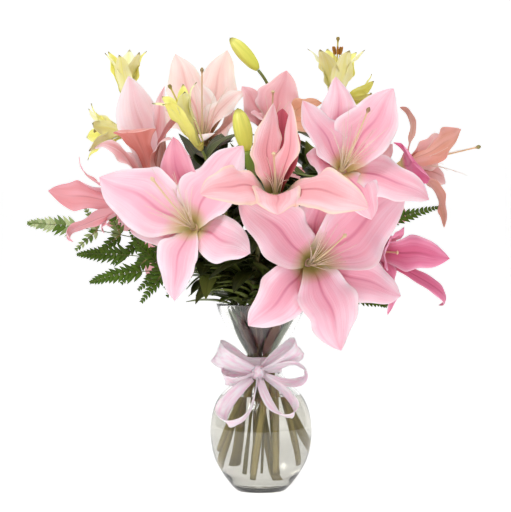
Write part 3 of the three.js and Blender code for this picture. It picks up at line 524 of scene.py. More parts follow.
# Kinds of node and their settings. Sums are kept between 0 and 1.
MATH = "ShaderNodeMath"
MIX = "ShaderNodeMix"
RAMP = "ShaderNodeValToRGB"
BUMP = "ShaderNodeBump"
SIZE = {"operation": "ABSOLUTE", "use_clamp": True}
TIMES = {"operation": "MULTIPLY", "use_clamp": True}
TIMES_PLUS = {"operation": "MULTIPLY_ADD", "use_clamp": True}
MINUS = {"operation": "SUBTRACT", "use_clamp": True}
BELOW = {"operation": "LESS_THAN", "use_clamp": True}
COLOURS = {"data_type": "RGBA"}

# Pink blooms: light, deep, back, throat, midrib and edge colour of the petals.
PINK_TINTS = {
    "a": ["#ffdbe6", "#ee8ca8", "#f1b4bf", "#a39b42", "#c95a7e", "#ffe6ea"],
    "b": ["#fedae3", "#f093ac", "#f2b6c4", "#d3bf72", "#cc5f86", "#feeaef"],
    "c": ["#fdd6da", "#ef99a2", "#f3cabd", "#7f8436", "#bd5560", "#f6dcb0"],
    "d": ["#fee2eb", "#f2a0b8", "#efc0b0", "#cfc277", "#d86f8f", "#fff0f5"],
    "e": ["#f6c2cf", "#da7c84", "#eba0a6", "#c9b86a", "#a0474d", "#fce2e6"],
    "f": ["#f9dde1", "#dc7474", "#ea8d78", "#a9773e", "#c9563c", "#fae3e0"],
    "g": ["#fff0ea", "#f6c3bd", "#f0bfaa", "#a89a4a", "#d78882", "#fff0e8"],
    "i": ["#f7c6ca", "#e89aa5", "#dfa083", "#a89a4a", "#cf7a7a", "#fce0e0"],
    "j": ["#f6c6c6", "#e1958f", "#dd9f88", "#a88a4a", "#9c5238", "#f9dfd6"],
    "k": ["#f29cbd", "#d4517f", "#dc7397", "#a8744a", "#a62a58", "#f8cddc"],
    "m": ["#fad0d9", "#ee95ac", "#f0b2b8", "#cfc46c", "#d56d8c", "#fee4ea"],
    "n": ["#fad0d9", "#ee95ac", "#f0b2b8", "#cfc46c", "#d56d8c", "#fee4ea"],
}

# Petals of their own tint, by their place in the bloom: deeper pink on the top petal of d, as
# painted shade; dark maroon inside the closed trumpet of c, painted shade; hot pink where j folds
# back; brown where i shows its underside; on f, the salmon back of the front petal and the maroon
# right petal, the colour of their backs darkened as painted shade, and a paler top petal.
PETAL_TINTS = {
    # The top petal of d: deeper pink, painted shade.
    "d": {1: ["#f7aebf", "#e27f9b", "#efb2b6", "#cfc277", "#c9587c", "#fbcbd6"]},
    # The inner petal of c: dark maroon, painted shade inside the closed trumpet.
    "c": {1: ["#c05566", "#8e2236", "#e9a9a4", "#6f3a2c", "#6f1626", "#d98a90"]},
    "f": {
        # Front petal of f: its salmon back darkened as painted shade.
        0: ["#eeaaa2", "#cc6a62", "#d67c70", "#a9773e", "#a8483c", "#f6c8c2"],
        2: ["#fbe6e9", "#f2c2ca", "#f3ccc8", "#b0a050", "#d79a9a", "#fdeff1"],
        # Right petal of f: dark maroon, painted shade.
        4: ["#d88a86", "#8f3138", "#c9705f", "#a9773e", "#7a2630", "#e3a79c"],
    },
    "i": {
        1: ["#e3a98c", "#cf8a66", "#d59a6c", "#a89a4a", "#b0704a", "#eec3a4"],
        2: ["#e3a98c", "#cf8a66", "#d59a6c", "#a89a4a", "#b0704a", "#eec3a4"],
    },
    "j": {5: ["#f08cb4", "#c9406f", "#e56f9c", "#8a4048", "#9c2450", "#f7b6cd"]},
}

# ---------------------------------------------------------------- stage

# Table and backdrop in one sweep, in metres: front edge, level length, radius of the bend,
# height above it and half width. It stands far enough back to look at the bouquet from behind,
# and a hair below the vase's foot.
SWEEP = (-5.0, 10.0, 1.5, 4.0, 8.0)
SWEEP_DROP = 0.0005

# Lights: name, place in metres, size in metres, power in watts. They look at this height.
STAGE_LIGHTS = [
    ("key", (-0.6, -1.4, 1.7), 0.8, 21),
    ("fill", (1.4, -1.3, 0.8), 1.4, 4),
    ("top", (0.0, 0.3, 1.9), 1.4, 10),
]
LIT_HEIGHT = 0.28
WHITE = (1, 1, 1, 1)
WORLD_STRENGTH = 0.32
PAPER_GLOW = 0.5
SENSOR_WIDTH = 36
CLIP_END = 20


# ---------------------------------------------------------------- curves and lofts


def smooth(x):
    """Rises from 0 to 1 as x does, level at both ends: 3x^2 - 2x^3."""
    x = np.clip(x, 0, 1)
    return x * x * (3 - 2 * x)


def rising(u, start, length):
    """Rises smoothly from 0 to 1 over a length after its start."""
    return smooth((u - start) / length)


def wave(u, count, phase=0.0):
    """A sine that swings count times from 0 to 1, shifted by its phase."""
    return np.sin(2 * math.pi * count * u + phase)


def bump(x, middle, half):
    """A round bump, 1 high at its middle: exp(-((x - middle) / half)^2)."""
    return np.exp(-(((x - middle) / half) ** 2))


def unit(vectors):
    """The same vectors, one long."""
    vectors = np.asarray(vectors, float)
    return vectors / np.linalg.norm(vectors, axis=-1, keepdims=True)


def heading(az, el):
    """Unit vector that looks az degrees from -Y towards +X and el degrees up."""
    az, el = math.radians(az), math.radians(el)
    return np.array([math.sin(az) * math.cos(el), -math.cos(az) * math.cos(el), math.sin(el)])


def bearing_vector(bearing, rise=0.0):
    """Unit vector at bearing degrees from +X towards +Y and rise degrees up."""
    bearing, rise = math.radians(bearing), math.radians(rise)
    return np.array([
        math.cos(bearing) * math.cos(rise),
        math.sin(bearing) * math.cos(rise),
        math.sin(rise),
    ])


def cubic(ends, t):
    """Points of the cubic Bezier curve with those four ends at the shares t."""
    t = np.asarray(t, float)[..., None]
    w = 1 - t
    p = np.asarray(ends, float)
    return w**3 * p[0] + 3 * w * w * t * p[1] + 3 * w * t * t * p[2] + t**3 * p[3]


def cubic_pace(ends, t):
    """Rate of change of the same curve."""
    t = np.asarray(t, float)[..., None]
    w = 1 - t
    p = np.asarray(ends, float)
    return 3 * w * w * (p[1] - p[0]) + 6 * w * t * (p[2] - p[1]) + 3 * t * t * (p[3] - p[2])


def round_profile(points, steps):
    """Catmull-Rom curve through points, each stretch cut into steps."""
    p = np.asarray(points, float)
    before = np.vstack([2 * p[0] - p[1], p, 2 * p[-1] - p[-2]])
    a, b, c, d = before[:-3], before[1:-2], before[2:-1], before[3:]
    t = (np.arange(steps) / steps)[None, :, None]
    a, b, c, d = (q[:, None, :] for q in (a, b, c, d))
    curve = b + 0.5 * t * (c - a + t * (2 * a - 5 * b + 4 * c - d + t * (3 * (b - c) + d - a)))
    return np.vstack([curve.reshape(-1, 2), p[-1:]])


def ring_angles(around):
    """Angles of the points of one ring, half a step off zero so that halves mirror."""
    return 2 * math.pi * (np.arange(around) + 0.5) / around


def part(rings, along=None, across=None, tone=0.5, slot=0):
    """A loft before it is put into a mesh. Every point carries its place: share along the
    part, share across it and side (front 1, back -1), and every part its own tone."""
    rings = np.asarray(rings, float)
    rows, around = rings.shape[:2]
    angle = ring_angles(around)
    place = np.zeros((rows, around, 3))
    place[..., 0] = np.linspace(0, 1, rows)[:, None] if along is None else along
    place[..., 1] = -np.cos(angle)[None, :] if across is None else across
    place[..., 2] = np.sin(angle)[None, :]
    return {"rings": rings, "place": place, "tone": tone, "slot": slot}


def tube(path, radii, around=12, lobes=0, lobe_depth=0.0, **kind):
    """Rings of the given radii round a path. The radius swings lobes times round each ring."""
    path = np.asarray(path, float)
    ahead = unit(np.gradient(path, axis=0))
    aside = np.array([0.2, 1.0, 0.1]) if abs(ahead[:, 1]).max() < 0.97 else np.array([1.0, 0.1, 0.2])
    across = unit(aside - (ahead @ aside)[:, None] * ahead)
    other = np.cross(ahead, across)
    angle = ring_angles(around)
    swell = 1 + lobe_depth * np.cos(lobes * angle)
    radii = np.asarray(radii, float)[:, None] * swell
    rings = (
        path[:, None, :]
        + (radii * np.cos(angle))[..., None] * across[:, None, :]
        + (radii * np.sin(angle))[..., None] * other[:, None, :]
    )
    return part(rings, **kind)


def spun(profile, origin, axis, around=24, lobes=0, lobe_depth=0.0, **kind):
    """Profile [radius, distance] turned about the line from origin along axis."""
    profile = np.asarray(profile, float)
    axis = np.asarray(axis, float)
    aside = np.array([0.0, 1.0, 0.0]) if abs(axis[0]) > 0.9 else np.array([1.0, 0.0, 0.0])
    across = unit(aside - aside @ axis * axis)
    other = np.cross(axis, across)
    angle = ring_angles(around)
    radii = profile[:, :1] * (1 + lobe_depth * np.cos(lobes * angle))[None, :]
    rings = (
        np.asarray(origin, float)
        + profile[:, 1][:, None, None] * axis
        + (radii * np.cos(angle))[..., None] * across
        + (radii * np.sin(angle))[..., None] * other
    )
    return part(rings, **kind)


def blade(middle, across, normal, half_width, thickness, around=16, bend=None, **kind):
    """Thin body along middle with an elliptic cross-section: half_width each way along across
    and half the thickness along normal. bend(u, v) lifts it along normal."""
    rows = len(middle)
    angle = ring_angles(around)
    u = np.linspace(0, 1, rows)[:, None]
    v = -np.cos(angle)[None, :]
    lift = np.sin(angle)[None, :] * (np.asarray(thickness, float) / 2) * np.ones_like(u)
    if bend is not None:
        lift = lift + bend(u, v)
    wide = np.asarray(half_width, float).reshape(-1, 1) * v
    rings = (
        np.asarray(middle)[:, None, :]
        + wide[..., None] * np.asarray(across)[:, None, :]
        + lift[..., None] * np.asarray(normal)[:, None, :]
    )
    return part(rings, **kind)


def loft_faces(rows, around):
    """Quads between successive rings and across the two end rings."""
    index = np.arange(rows * around).reshape(rows, around)
    beside = np.roll(index, -1, axis=1)
    walls = np.stack([index[:-1], beside[:-1], beside[1:], index[1:]], -1).reshape(-1, 4)
    near = np.arange(around // 2 - 1)
    far = around - 1 - near
    cap = np.stack([near, far, far - 1, near + 1], -1)
    return np.vstack([walls, cap, (rows - 1) * around + cap[:, ::-1]])


def outward(points, faces):
    """The faces, turned if the body they close would be inside out."""
    p = points - points.mean(axis=0)
    a, b, c, d = (p[faces[:, k]] for k in range(4))
    volume = np.sum(a * np.cross(b, c)) + np.sum(a * np.cross(c, d))
    return faces if volume > 0 else faces[:, ::-1]


def piece(name, parts, materials, node):
    """One object from its parts, in metres at the origin, in place of a node of the solids."""
    points, faces, places, tones, slots = [], [], [], [], []
    start = 0
    for made in parts:
        rows, around = made["rings"].shape[:2]
        flat = made["rings"].reshape(-1, 3)
        quads = outward(flat, loft_faces(rows, around))
        points.append(flat)
        faces.append(quads + start)
        places.append(made["place"].reshape(-1, 3))
        tones.append(np.full(len(flat), made["tone"]))
        slots.append(np.full(len(quads), made["slot"]))
        start += len(flat)
    points, faces = np.vstack(points) * MM, np.vstack(faces)
    mesh = bpy.data.meshes.new(name)
    mesh.vertices.add(len(points))
    mesh.vertices.foreach_set("co", points.ravel())
    mesh.loops.add(faces.size)
    mesh.loops.foreach_set("vertex_index", faces.ravel())
    mesh.polygons.add(len(faces))
    mesh.polygons.foreach_set("loop_start", np.arange(0, faces.size, 4))
    mesh.polygons.foreach_set("loop_total", np.full(len(faces), 4))
    mesh.polygons.foreach_set("use_smooth", np.ones(len(faces), bool))
    mesh.polygons.foreach_set("material_index", np.concatenate(slots).astype(np.int32))
    mesh.update(calc_edges=True)
    place = mesh.attributes.new("place", "FLOAT_VECTOR", "POINT")
    place.data.foreach_set("vector", np.vstack(places).ravel())
    tone = mesh.attributes.new("tone", "FLOAT", "POINT")
    tone.data.foreach_set("value", np.concatenate(tones))
    mesh.validate()
    for material in materials:
        mesh.materials.append(material)
    made = bpy.data.objects.new(name, mesh)
    bpy.context.scene.collection.objects.link(made)
    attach(made, "root")
    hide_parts(node)
    return made


# ---------------------------------------------------------------- materials


def linear(colour):
    """Linear colour of an sRGB hex value such as #ffcc00."""
    parts = [int(colour[i:i + 2], 16) / 255 for i in (1, 3, 5)]
    return [c / 12.92 if c <= 0.04045 else ((c + 0.055) / 1.055) ** 2.4 for c in parts] + [1.0]


def fill(tree, node, inputs):
    """Gives a node's inputs their values: numbers and colours, sRGB hex values or linear, are
    set, and another node's output is linked."""
    for name, value in inputs.items():
        if isinstance(value, bpy.types.NodeSocket):
            tree.links.new(value, node.inputs[name])
        else:
            node.inputs[name].default_value = linear(value) if isinstance(value, str) else value


def add(tree, kind, inputs, stops=(), **settings):
    """Adds a node with its inputs, colour ramp stops and settings, and returns its outputs."""
    made = tree.nodes.new(kind)
    for name, value in settings.items():
        setattr(made, name, value)
    fill(tree, made, inputs)
    if stops:
        elements = made.color_ramp.elements
        while len(elements) < len(stops):
            elements.new(0.5)
        for element, (position, colour) in zip(elements, stops):
            element.position = position
            element.color = [colour] * 3 + [1] if isinstance(colour, float) else linear(colour)
    return made.outputs


def plain(name):
    """A new material with its node tree and Principled shader."""
    material = bpy.data.materials.new(name)
    material.use_nodes = True
    tree = material.node_tree
    return material, tree, tree.nodes["Principled BSDF"]


def surface(name):
    """The same, with the place of each point on its part and the tone of the part."""
    material, tree, shader = plain(name)
    place = add(tree, "ShaderNodeAttribute", {}, attribute_name="place")["Vector"]
    parts = add(tree, "ShaderNodeSeparateXYZ", {0: place})
    tone = add(tree, "ShaderNodeAttribute", {}, attribute_name="tone")["Fac"]
    return material, tree, shader, parts, tone


def flesh(weight, reach, depth_mm):
    """Light that sinks into soft tissue: its share, its reach in each colour and its depth."""
    return {
        "Subsurface Weight": weight, "Subsurface Radius": reach,
        "Subsurface Scale": depth_mm * MM,
    }


def streaks(tree, parts, tone, cells, detail=3.0):
    """Noise drawn out along the part, other in each part: cells across its half and along it."""
    across, along = cells
    scaled = [
        add(tree, MATH, {0: source, 1: scale}, operation="MULTIPLY")[0]
        for source, scale in ((parts[1], across), (parts[0], along), (tone, TONE_SHIFT))
    ]
    spot = add(tree, "ShaderNodeCombineXYZ", dict(enumerate(scaled)))[0]
    noise = {"Vector": spot, "Scale": 1.0, "Detail": detail, "Roughness": 0.6}
    return add(tree, "ShaderNodeTexNoise", noise)["Fac"]


def veins(tree, parts, tone, cells):
    """Streaks with clear edges, for veins and patches."""
    return add(tree, RAMP, {0: streaks(tree, parts, tone, cells)}, [(0.35, 0.0), (0.7, 1.0)])[0]


def lily_petal(name, light, deep, back, throat, rib, edge):
    """Petal of an oriental lily: thin, soft and slightly translucent, flushed along its middle
    and pale towards its edges, with faint lengthwise veins, a thin deeper midrib and a green
    throat. Its back has its own tint."""
    material, tree, shader, parts, tone = surface(name)
    width = add(tree, MATH, {0: parts[1]}, **SIZE)[0]
    vein = veins(tree, parts, tone, PETAL_VEINS)
    patch = streaks(tree, parts, tone, PETAL_FLUSH, 1.0)
    patch = add(tree, RAMP, {0: patch}, [(0.3, 0.0), (0.7, 1.0)])[0]
    middle = add(tree, RAMP, {0: width}, [(0.0, 1.0), (0.25, 0.75), (0.55, 0.5), (1.0, 0.2)])[0]
    stops = [(0.0, 0.5), (0.25, 1.0), (0.55, 0.85), (0.85, 0.4), (1.0, 0.5)]
    flush = add(tree, MATH, {0: middle, 1: add(tree, RAMP, {0: parts[0]}, stops)[0]}, **TIMES)[0]
    fine = streaks(tree, parts, tone, PETAL_LINES)
    fine = add(tree, RAMP, {0: fine}, [(0.45, 0.0), (0.62, 1.0)])[0]
    for pattern, share in ((patch, 0.45), (vein, 0.2), (fine, 0.1)):
        flush = add(tree, MATH, {0: pattern, 1: share, 2: flush}, **TIMES_PLUS)[0]
    flush = add(tree, MATH, {0: flush, 1: 0.3}, **MINUS)[0]
    colour = add(tree, MIX, {0: flush, 6: light, 7: deep}, **COLOURS)[2]
    rim = add(tree, RAMP, {0: width}, [(0.8, 0.0), (1.0, 0.6)])[0]
    colour = add(tree, MIX, {0: rim, 6: colour, 7: edge}, **COLOURS)[2]
    line = add(tree, RAMP, {0: width}, [(0.0, 0.75), (0.025, 0.6), (0.09, 0.0)])[0]
    stops = [(0.05, 0.0), (0.2, 1.0), (0.6, 0.6), (0.88, 0.0)]
    line = add(tree, MATH, {0: line, 1: add(tree, RAMP, {0: parts[0]}, stops)[0]}, **TIMES)[0]
    colour = add(tree, MIX, {0: line, 6: colour, 7: rib}, **COLOURS)[2]
    root = add(tree, RAMP, {0: parts[0]}, [(0.0, 1.0), (0.1, 0.85), (0.27, 0.0)])[0]
    colour = add(tree, MIX, {0: root, 6: colour, 7: throat}, **COLOURS)[2]
    line = add(tree, MATH, {0: line, 1: 0.8}, **TIMES)[0]
    behind = add(tree, MIX, {0: line, 6: back, 7: rib}, **COLOURS)[2]
    patch = add(tree, MATH, {0: patch, 1: 0.5}, **TIMES)[0]
    behind = add(tree, MIX, {0: patch, 6: behind, 7: light}, **COLOURS)[2]
    root = add(tree, RAMP, {0: parts[0]}, [(0.0, 0.9), (0.2, 0.0)])[0]
    behind = add(tree, MIX, {0: root, 6: behind, 7: "#b9b866"}, **COLOURS)[2]
    side = add(tree, MATH, {0: parts[2], 1: 0.0}, **BELOW)[0]
    colour = add(tree, MIX, {0: side, 6: colour, 7: behind}, **COLOURS)[2]
    normal = add(tree, BUMP, {"Height": vein, "Distance": 0.6 * MM, "Strength": 0.4})[0]
    fill(tree, shader, {
        "Base Color": colour, "Normal": normal, "Roughness": 0.5,
        "Specular IOR Level": 0.3, "Sheen Weight": 0.1, **flesh(0.25, (1.0, 0.4, 0.35), 2.0),
    })
    return material


def yellow_petal(name):
    """Petal of a small trumpet lily that is still opening: waxy, cream or fresh yellow by its
    tone, green at the root and along the midrib, with a brown-green point."""
    material, tree, shader, parts, tone = surface(name)
    width = add(tree, MATH, {0: parts[1]}, **SIZE)[0]
    vein = veins(tree, parts, tone, YELLOW_VEINS)
    colour = add(tree, MIX, {0: vein, 6: "#fffde2", 7: "#faf3b2"}, **COLOURS)[2]
    fresh = add(tree, RAMP, {0: tone}, [(0.4, 0.0), (0.65, 0.75)])[0]
    colour = add(tree, MIX, {0: fresh, 6: colour, 7: "#f3ec62"}, **COLOURS)[2]
    line = add(tree, RAMP, {0: width}, [(0.0, 1.0), (0.45, 0.0)])[0]
    line = add(tree, MATH, {0: line, 1: 0.45}, **TIMES)[0]
    colour = add(tree, MIX, {0: line, 6: colour, 7: "#e6e060"}, **COLOURS)[2]
    behind = add(tree, MATH, {0: parts[2], 1: 0.0}, **BELOW)[0]
    behind = add(tree, MATH, {0: behind, 1: 0.35}, **TIMES)[0]
    colour = add(tree, MIX, {0: behind, 6: colour, 7: "#f2ea70"}, **COLOURS)[2]
    root = add(tree, RAMP, {0: parts[0]}, [(0.0, 0.9), (0.25, 0.0)])[0]
    colour = add(tree, MIX, {0: root, 6: colour, 7: "#b9b852"}, **COLOURS)[2]
    point = add(tree, RAMP, {0: parts[0]}, [(0.93, 0.0), (0.985, 0.9)])[0]
    colour = add(tree, MIX, {0: point, 6: colour, 7: "#6d6230"}, **COLOURS)[2]
    normal = add(tree, BUMP, {"Height": vein, "Distance": 0.3 * MM, "Strength": 0.3})[0]
    fill(tree, shader, {
        "Base Color": colour, "Normal": normal, "Roughness": 0.42,
        **flesh(0.3, (0.9, 0.8, 0.3), 1.5),
    })
    return material


def plant_skin(name, stops, rough, vein_count, dark):
    """Waxy green skin whose colour runs along the part; lengthwise veins darken it."""
    material, tree, shader, parts, tone = surface(name)
    colour = add(tree, RAMP, {0: parts[0]}, stops)[0]
    vein = veins(tree, parts, tone, (vein_count, STALK_VEINS_ALONG))
    for pattern, strength in ((vein, 0.55), (tone, 0.3)):
        share = add(tree, MATH, {0: pattern, 1: strength}, **TIMES)[0]
        colour = add(tree, MIX, {0: share, 6: colour, 7: dark}, **COLOURS)[2]
    normal = add(tree, BUMP, {"Height": vein, "Distance": 0.3 * MM, "Strength": 0.5})[0]
    fill(tree, shader, {
        "Base Color": colour, "Normal": normal, "Roughness": rough,
        **flesh(0.08, LEAF_LIGHT, 1.0),
    })
    return material


def leaf_skin(name, light, deep, rib, pale, rough):
    """Leaf blade: waxy, a midrib, parallel veins and patches of lighter green. Parts with a
    tone above 0.6 are young and pale."""
    material, tree, shader, parts, tone = surface(name)
    width = add(tree, MATH, {0: parts[1]}, **SIZE)[0]
    colour = deep
    for pattern in (veins(tree, parts, tone, LEAF_PATCHES), tone):
        share = add(tree, MATH, {0: pattern, 1: 0.6}, **TIMES)[0]
        colour = add(tree, MIX, {0: share, 6: colour, 7: light}, **COLOURS)[2]
    young = add(tree, RAMP, {0: tone}, [(0.6, 0.0), (1.0, 1.0)])[0]
    colour = add(tree, MIX, {0: young, 6: colour, 7: pale}, **COLOURS)[2]
    line = add(tree, RAMP, {0: width}, [(0.0, 0.7), (0.1, 0.0)])[0]
    colour = add(tree, MIX, {0: line, 6: colour, 7: rib}, **COLOURS)[2]
    vein = streaks(tree, parts, tone, LEAF_VEINS)
    normal = add(tree, BUMP, {"Height": vein, "Distance": 0.4 * MM, "Strength": 0.5})[0]
    fill(tree, shader, {
        "Base Color": colour, "Normal": normal, "Roughness": rough,
        "Specular IOR Level": 0.3, **flesh(0.08, LEAF_LIGHT, 0.8),
    })
    return material


def clear_body(name, colour, ior):
    """A clear body with a smooth skin."""
    material, tree, shader = plain(name)
    fill(tree, shader, {
        "Base Color": colour, "Roughness": 0.0, "IOR": ior, "Transmission Weight": 1.0,
    })
    return material


def soda_glass():
    """Blown soda-lime glass: clear, fire-polished, faintly grey."""
    return clear_body("soda_glass", "#f6f6f4", 1.5)


def vase_water():
    """Clear tap water, very slightly clouded by the stems."""
    return clear_body("vase_water", "#dddbd4", 1.333)


def satin(colour):
    """Polyester satin: crumpled in soft cross creases, with a hard gloss along them and a paler
    sheen at the bends."""
    material, tree, shader, parts, tone = surface("satin")
    crumple = streaks(tree, parts, tone, SATIN_CREASES, 2.0)
    soft = streaks(tree, parts, tone, SATIN_CLOUDS, 1.0)
    soft = add(tree, RAMP, {0: soft}, [(0.4, 0.0), (0.65, 1.0)])[0]
    soft = add(tree, MATH, {0: soft, 1: 0.6}, **TIMES)[0]
    shaded = add(tree, MIX, {0: soft, 6: [*colour, 1.0], 7: "#fac4dc"}, **COLOURS)[2]
    normal = add(tree, BUMP, {"Height": crumple, "Distance": 1.4 * MM, "Strength": 0.8})[0]
    fill(tree, shader, {
        "Base Color": shaded, "Normal": normal, "Roughness": 0.28, "Specular IOR Level": 0.7,
        "Sheen Weight": 0.5, "Sheen Roughness": 0.4, **flesh(0.5, (1.0, 0.6, 0.7), 1.0),
    })
    return material


def white_paper(colour):
    """Matt paper, lit so evenly that it seems to glow a little."""
    material, tree, shader = plain("white_paper")
    fill(tree, shader, {
        "Base Color": [*colour, 1.0], "Roughness": 0.9,
        "Emission Color": WHITE, "Emission Strength": PAPER_GLOW,
    })
    return material


# ---------------------------------------------------------------- petals and blooms


def petal_share(u):
    """A petal's half width as a share of its greatest: it opens from a narrow claw over the
    first half of its length and closes to its point along a rounded shoulder."""
    opening = PETAL_CLAW + (1 - PETAL_CLAW) * smooth(u / PETAL_WIDEST)
    fall = 1 - np.clip((u - PETAL_WIDEST) / (1 - PETAL_WIDEST), 0, 1) ** PETAL_CLOSING
    return np.maximum(opening * fall**PETAL_SHOULDER, 0.02)


def petal_midrib(bloom, clock, root, tip, curl, sway, u):
    """Points along a petal's midrib, the way it runs and the way across the petal. It is a
    cubic curve in the plane of the bloom's axis and the clock direction, swayed sideways by
    sway * u^2. Root and tip are [distance from the axis, distance along it]."""
    axis = heading(bloom["az"], bloom["el"])
    right = bearing_vector(bloom["az"])
    up = np.cross(axis, right)
    out = up * math.cos(math.radians(clock)) + right * math.sin(math.radians(clock))
    side = np.cross(out, axis)
    span = math.dist(root, tip)
    slope = math.atan2(tip[0] - root[0], tip[1])
    leave, arrive = PETAL_LEAVE * slope, slope + math.radians(curl)
    first, last = PETAL_HANDLES
    ends = np.array([
        root,
        [root[0] + math.sin(leave) * first * span, math.cos(leave) * first * span],
        [tip[0] - math.sin(arrive) * last * span, tip[1] - math.cos(arrive) * last * span],
        tip,
    ])
    flat, pace = cubic(ends, u), cubic_pace(ends, u)
    middle = (
        np.array(bloom["at"], float)
        + flat[:, :1] * out
        + flat[:, 1:] * axis
        + sway * (u * u)[:, None] * side
    )
    along = unit(pace[:, :1] * out + pace[:, 1:] * axis + 2 * sway * u[:, None] * side)
    across = unit(np.cross(pace[:, :1] * axis - pace[:, 1:] * out, along))
    return middle, along, across, flat[:, 0], span


def petal(bloom, order, root_radius, tube_share, sizes, seed, slot=0):
    """One petal, on a midrib that swings a little to each side. With u along it and v across it
    from -1 to 1, the petal is cupped towards the axis by v^2 near its root, its edges roll back
    by v^4, bumps about v = 0 make the groove and the trough of the midrib, sines in u times v^2
    wave its edges, and its tip turns back."""
    values = list(bloom["petals"][order])
    clock, reach, forward, width, curl = values[:5]
    inner = order % 2 == 0
    plain_end = [0, 0, INNER_CUP if inner else OUTER_CUP]
    sway, twist, cup = values[5:] + plain_end[len(values) - 5:]
    layer = 0.5 if inner else -0.5
    root = [root_radius if inner else root_radius + LAYER_GAP, 0]
    u = np.linspace(0, 1, PETAL_ROWS)
    middle, along, across, from_axis, span = petal_midrib(
        bloom, clock, root, [reach, forward], curl, sway, u,
    )
    normal = np.cross(along, across)
    turn = (math.radians(twist) * u)[:, None]
    across, normal = (
        across * np.cos(turn) + normal * np.sin(turn),
        normal * np.cos(turn) - across * np.sin(turn),
    )
    half = np.minimum(width / 2 * petal_share(u), tube_share * from_axis)
    middle = middle + (layer * LAYER_STEP * 2 * half * (1 - u))[:, None] * normal
    chance = np.random.default_rng(seed)
    waves = chance.uniform(*EDGE_WAVES, 2)
    phases = chance.uniform(0, 2 * math.pi, 2)
    tone = chance.uniform(0, 1)
    turned = chance.uniform(*(INNER_TURN if inner else OUTER_TURN))
    swings = chance.uniform(0, 2 * math.pi, 2)
    half = half * (1 + OUTLINE_SWELL[0] * wave(u, OUTLINE_SWELL[1], swings[0]))
    swing = MIDRIB_SWING[0] * half * wave(u, MIDRIB_SWING[1], swings[1]) * smooth(u / 0.3)
    middle = middle + swing[:, None] * across
    column = half[:, None]

    def bend(u, v):
        cupping = cup * (1 - CUP_FADE * u) * column * v * v
        cupping = cupping - sizes.roll * column * v**4 * rising(u, *EDGE_ROLL)
        cupping = cupping - turned * span * rising(u, *TIP_TURN) ** 2
        fold = sizes.groove * bump(v, 0, GROOVE_WIDTH)
        fold = fold + TROUGH[0] * column * bump(v, 0, TROUGH[1])
        groove = -fold * smooth(u / 0.1) * (1 - u**3)
        billow = wave(u, BILLOW[1], phases[0]) * smooth(u / 0.4) * (1 - u)
        groove = groove + sizes.wave * BILLOW[0] * column * billow
        count = np.where(v < 0, waves[0], waves[1])
        phase = np.where(v < 0, phases[0], phases[1])
        edge = wave(u, count, phase) * v * v
        edge = edge + RIPPLE[0] * wave(u, RIPPLE[1] * count, 2 * phase) * v**4
        return cupping + groove + sizes.wave * column * edge * smooth(u / 0.3) * (1 - u**4)

    return blade(
        middle, across, normal, half, sizes.petal_thickness, around=PETAL_AROUND, bend=bend,
        tone=tone, slot=slot,
    )


def bloom_frame(bloom):
    """Two directions across a bloom's axis, for what stands in a ring round it."""
    axis = heading(bloom["az"], bloom["el"])
    first = unit(np.cross([0.3, 0.2, 1.0], axis))
    return axis, first, np.cross(axis, first)


def bowed(start, middle, end, t):
    """Points of the quadratic Bezier curve with those ends at the shares t."""
    w = (1 - t)[:, None]
    t = t[:, None]
    return w * w * start + 2 * w * t * middle + t * t * end


def stamens(bloom):
    """Pistil and filaments: quadratic curves that leave the throat along the bloom's axis and
    lean towards the stigma; the filaments spread round it."""
    axis, first, second = bloom_frame(bloom)
    throat = np.array(bloom["at"], float)
    az, el, length = bloom["stigma"]
    aim = heading(az, el)
    bend = throat + STAMEN_BEND * length * axis
    root = throat + THROAT_RISE * axis
    t = np.concatenate([np.linspace(0, 0.93, 22), np.linspace(0.94, 1, 9)])
    swell, knob_at, knob_half = KNOB
    start, end = PISTIL_RADII
    radii = start - (start - end) * t + swell * bump(t, knob_at, knob_half)
    radii = radii - KNOB_CLOSING * smooth((t - 0.985) / 0.015)
    pistil = bowed(root, bend, throat + length * aim, t)
    made = [tube(pistil, radii, 12, 3, STIGMA_LOBES, along=t[:, None], slot=0)]
    made.append(spun(DISC, throat, axis, 16, along=np.zeros((5, 1)), slot=0))
    t = np.linspace(0, 1, 18)
    thick, thin = FILAMENT_RADII
    count = FILAMENT_BUNCH * bloom["filaments"]
    for k in range(count):
        angle = 2 * math.pi * (k + 0.6) / count
        away = math.cos(angle) * first + math.sin(angle) * second
        reach = FILAMENT_REACH * (1 - 0.16 * (k % 3))
        spread = FILAMENT_SPREAD * (1.3 - 0.35 * (k % 2))
        path = bowed(
            root + 1.9 * away,
            bend + 0.07 * length * away,
            throat + reach * length * aim + spread * length * away,
            t,
        )
        radii = thick - (thick - thin) * t
        made.append(tube(path, radii, 8, along=t[:, None], tone=k / count, slot=1))
    return made


def small_pistil(bloom):
    """The straight pistil of a small lily, with its knob."""
    axis = heading(bloom["az"], bloom["el"])
    t = np.concatenate([np.linspace(0, 0.9, 12), np.linspace(0.92, 1, 8)])
    path = np.array(bloom["at"]) + (t * bloom["pistil"])[:, None] * axis
    swell, knob_at, knob_half = SMALL_KNOB
    radii = SMALL_PISTIL + swell * bump(t, knob_at, knob_half)
    return tube(path, radii, 10, 3, STIGMA_LOBES, along=t[:, None], slot=1)


def anthers(bloom, count):
    """Anthers in a ring round a small lily's pistil, each on a straight filament."""
    axis, first, second = bloom_frame(bloom)
    throat = np.array(bloom["at"])
    made = []
    for k in range(count):
        angle = 2 * math.pi * k / count + 0.4
        away = math.cos(angle) * first + math.sin(angle) * second
        end = throat + ANTHER_PLACE * bloom["pistil"] * axis + ANTHER_RING * away
        thread = [throat + t * (end - throat) for t in np.linspace(0, 1, 8)]
        made.append(tube(thread, np.full(8, 0.35), 6, slot=1))
        lean = unit(axis + ANTHER_LEAN * away)
        made.append(spun(round_profile(ANTHER, 3), end, lean, 10, slot=2))
    return made


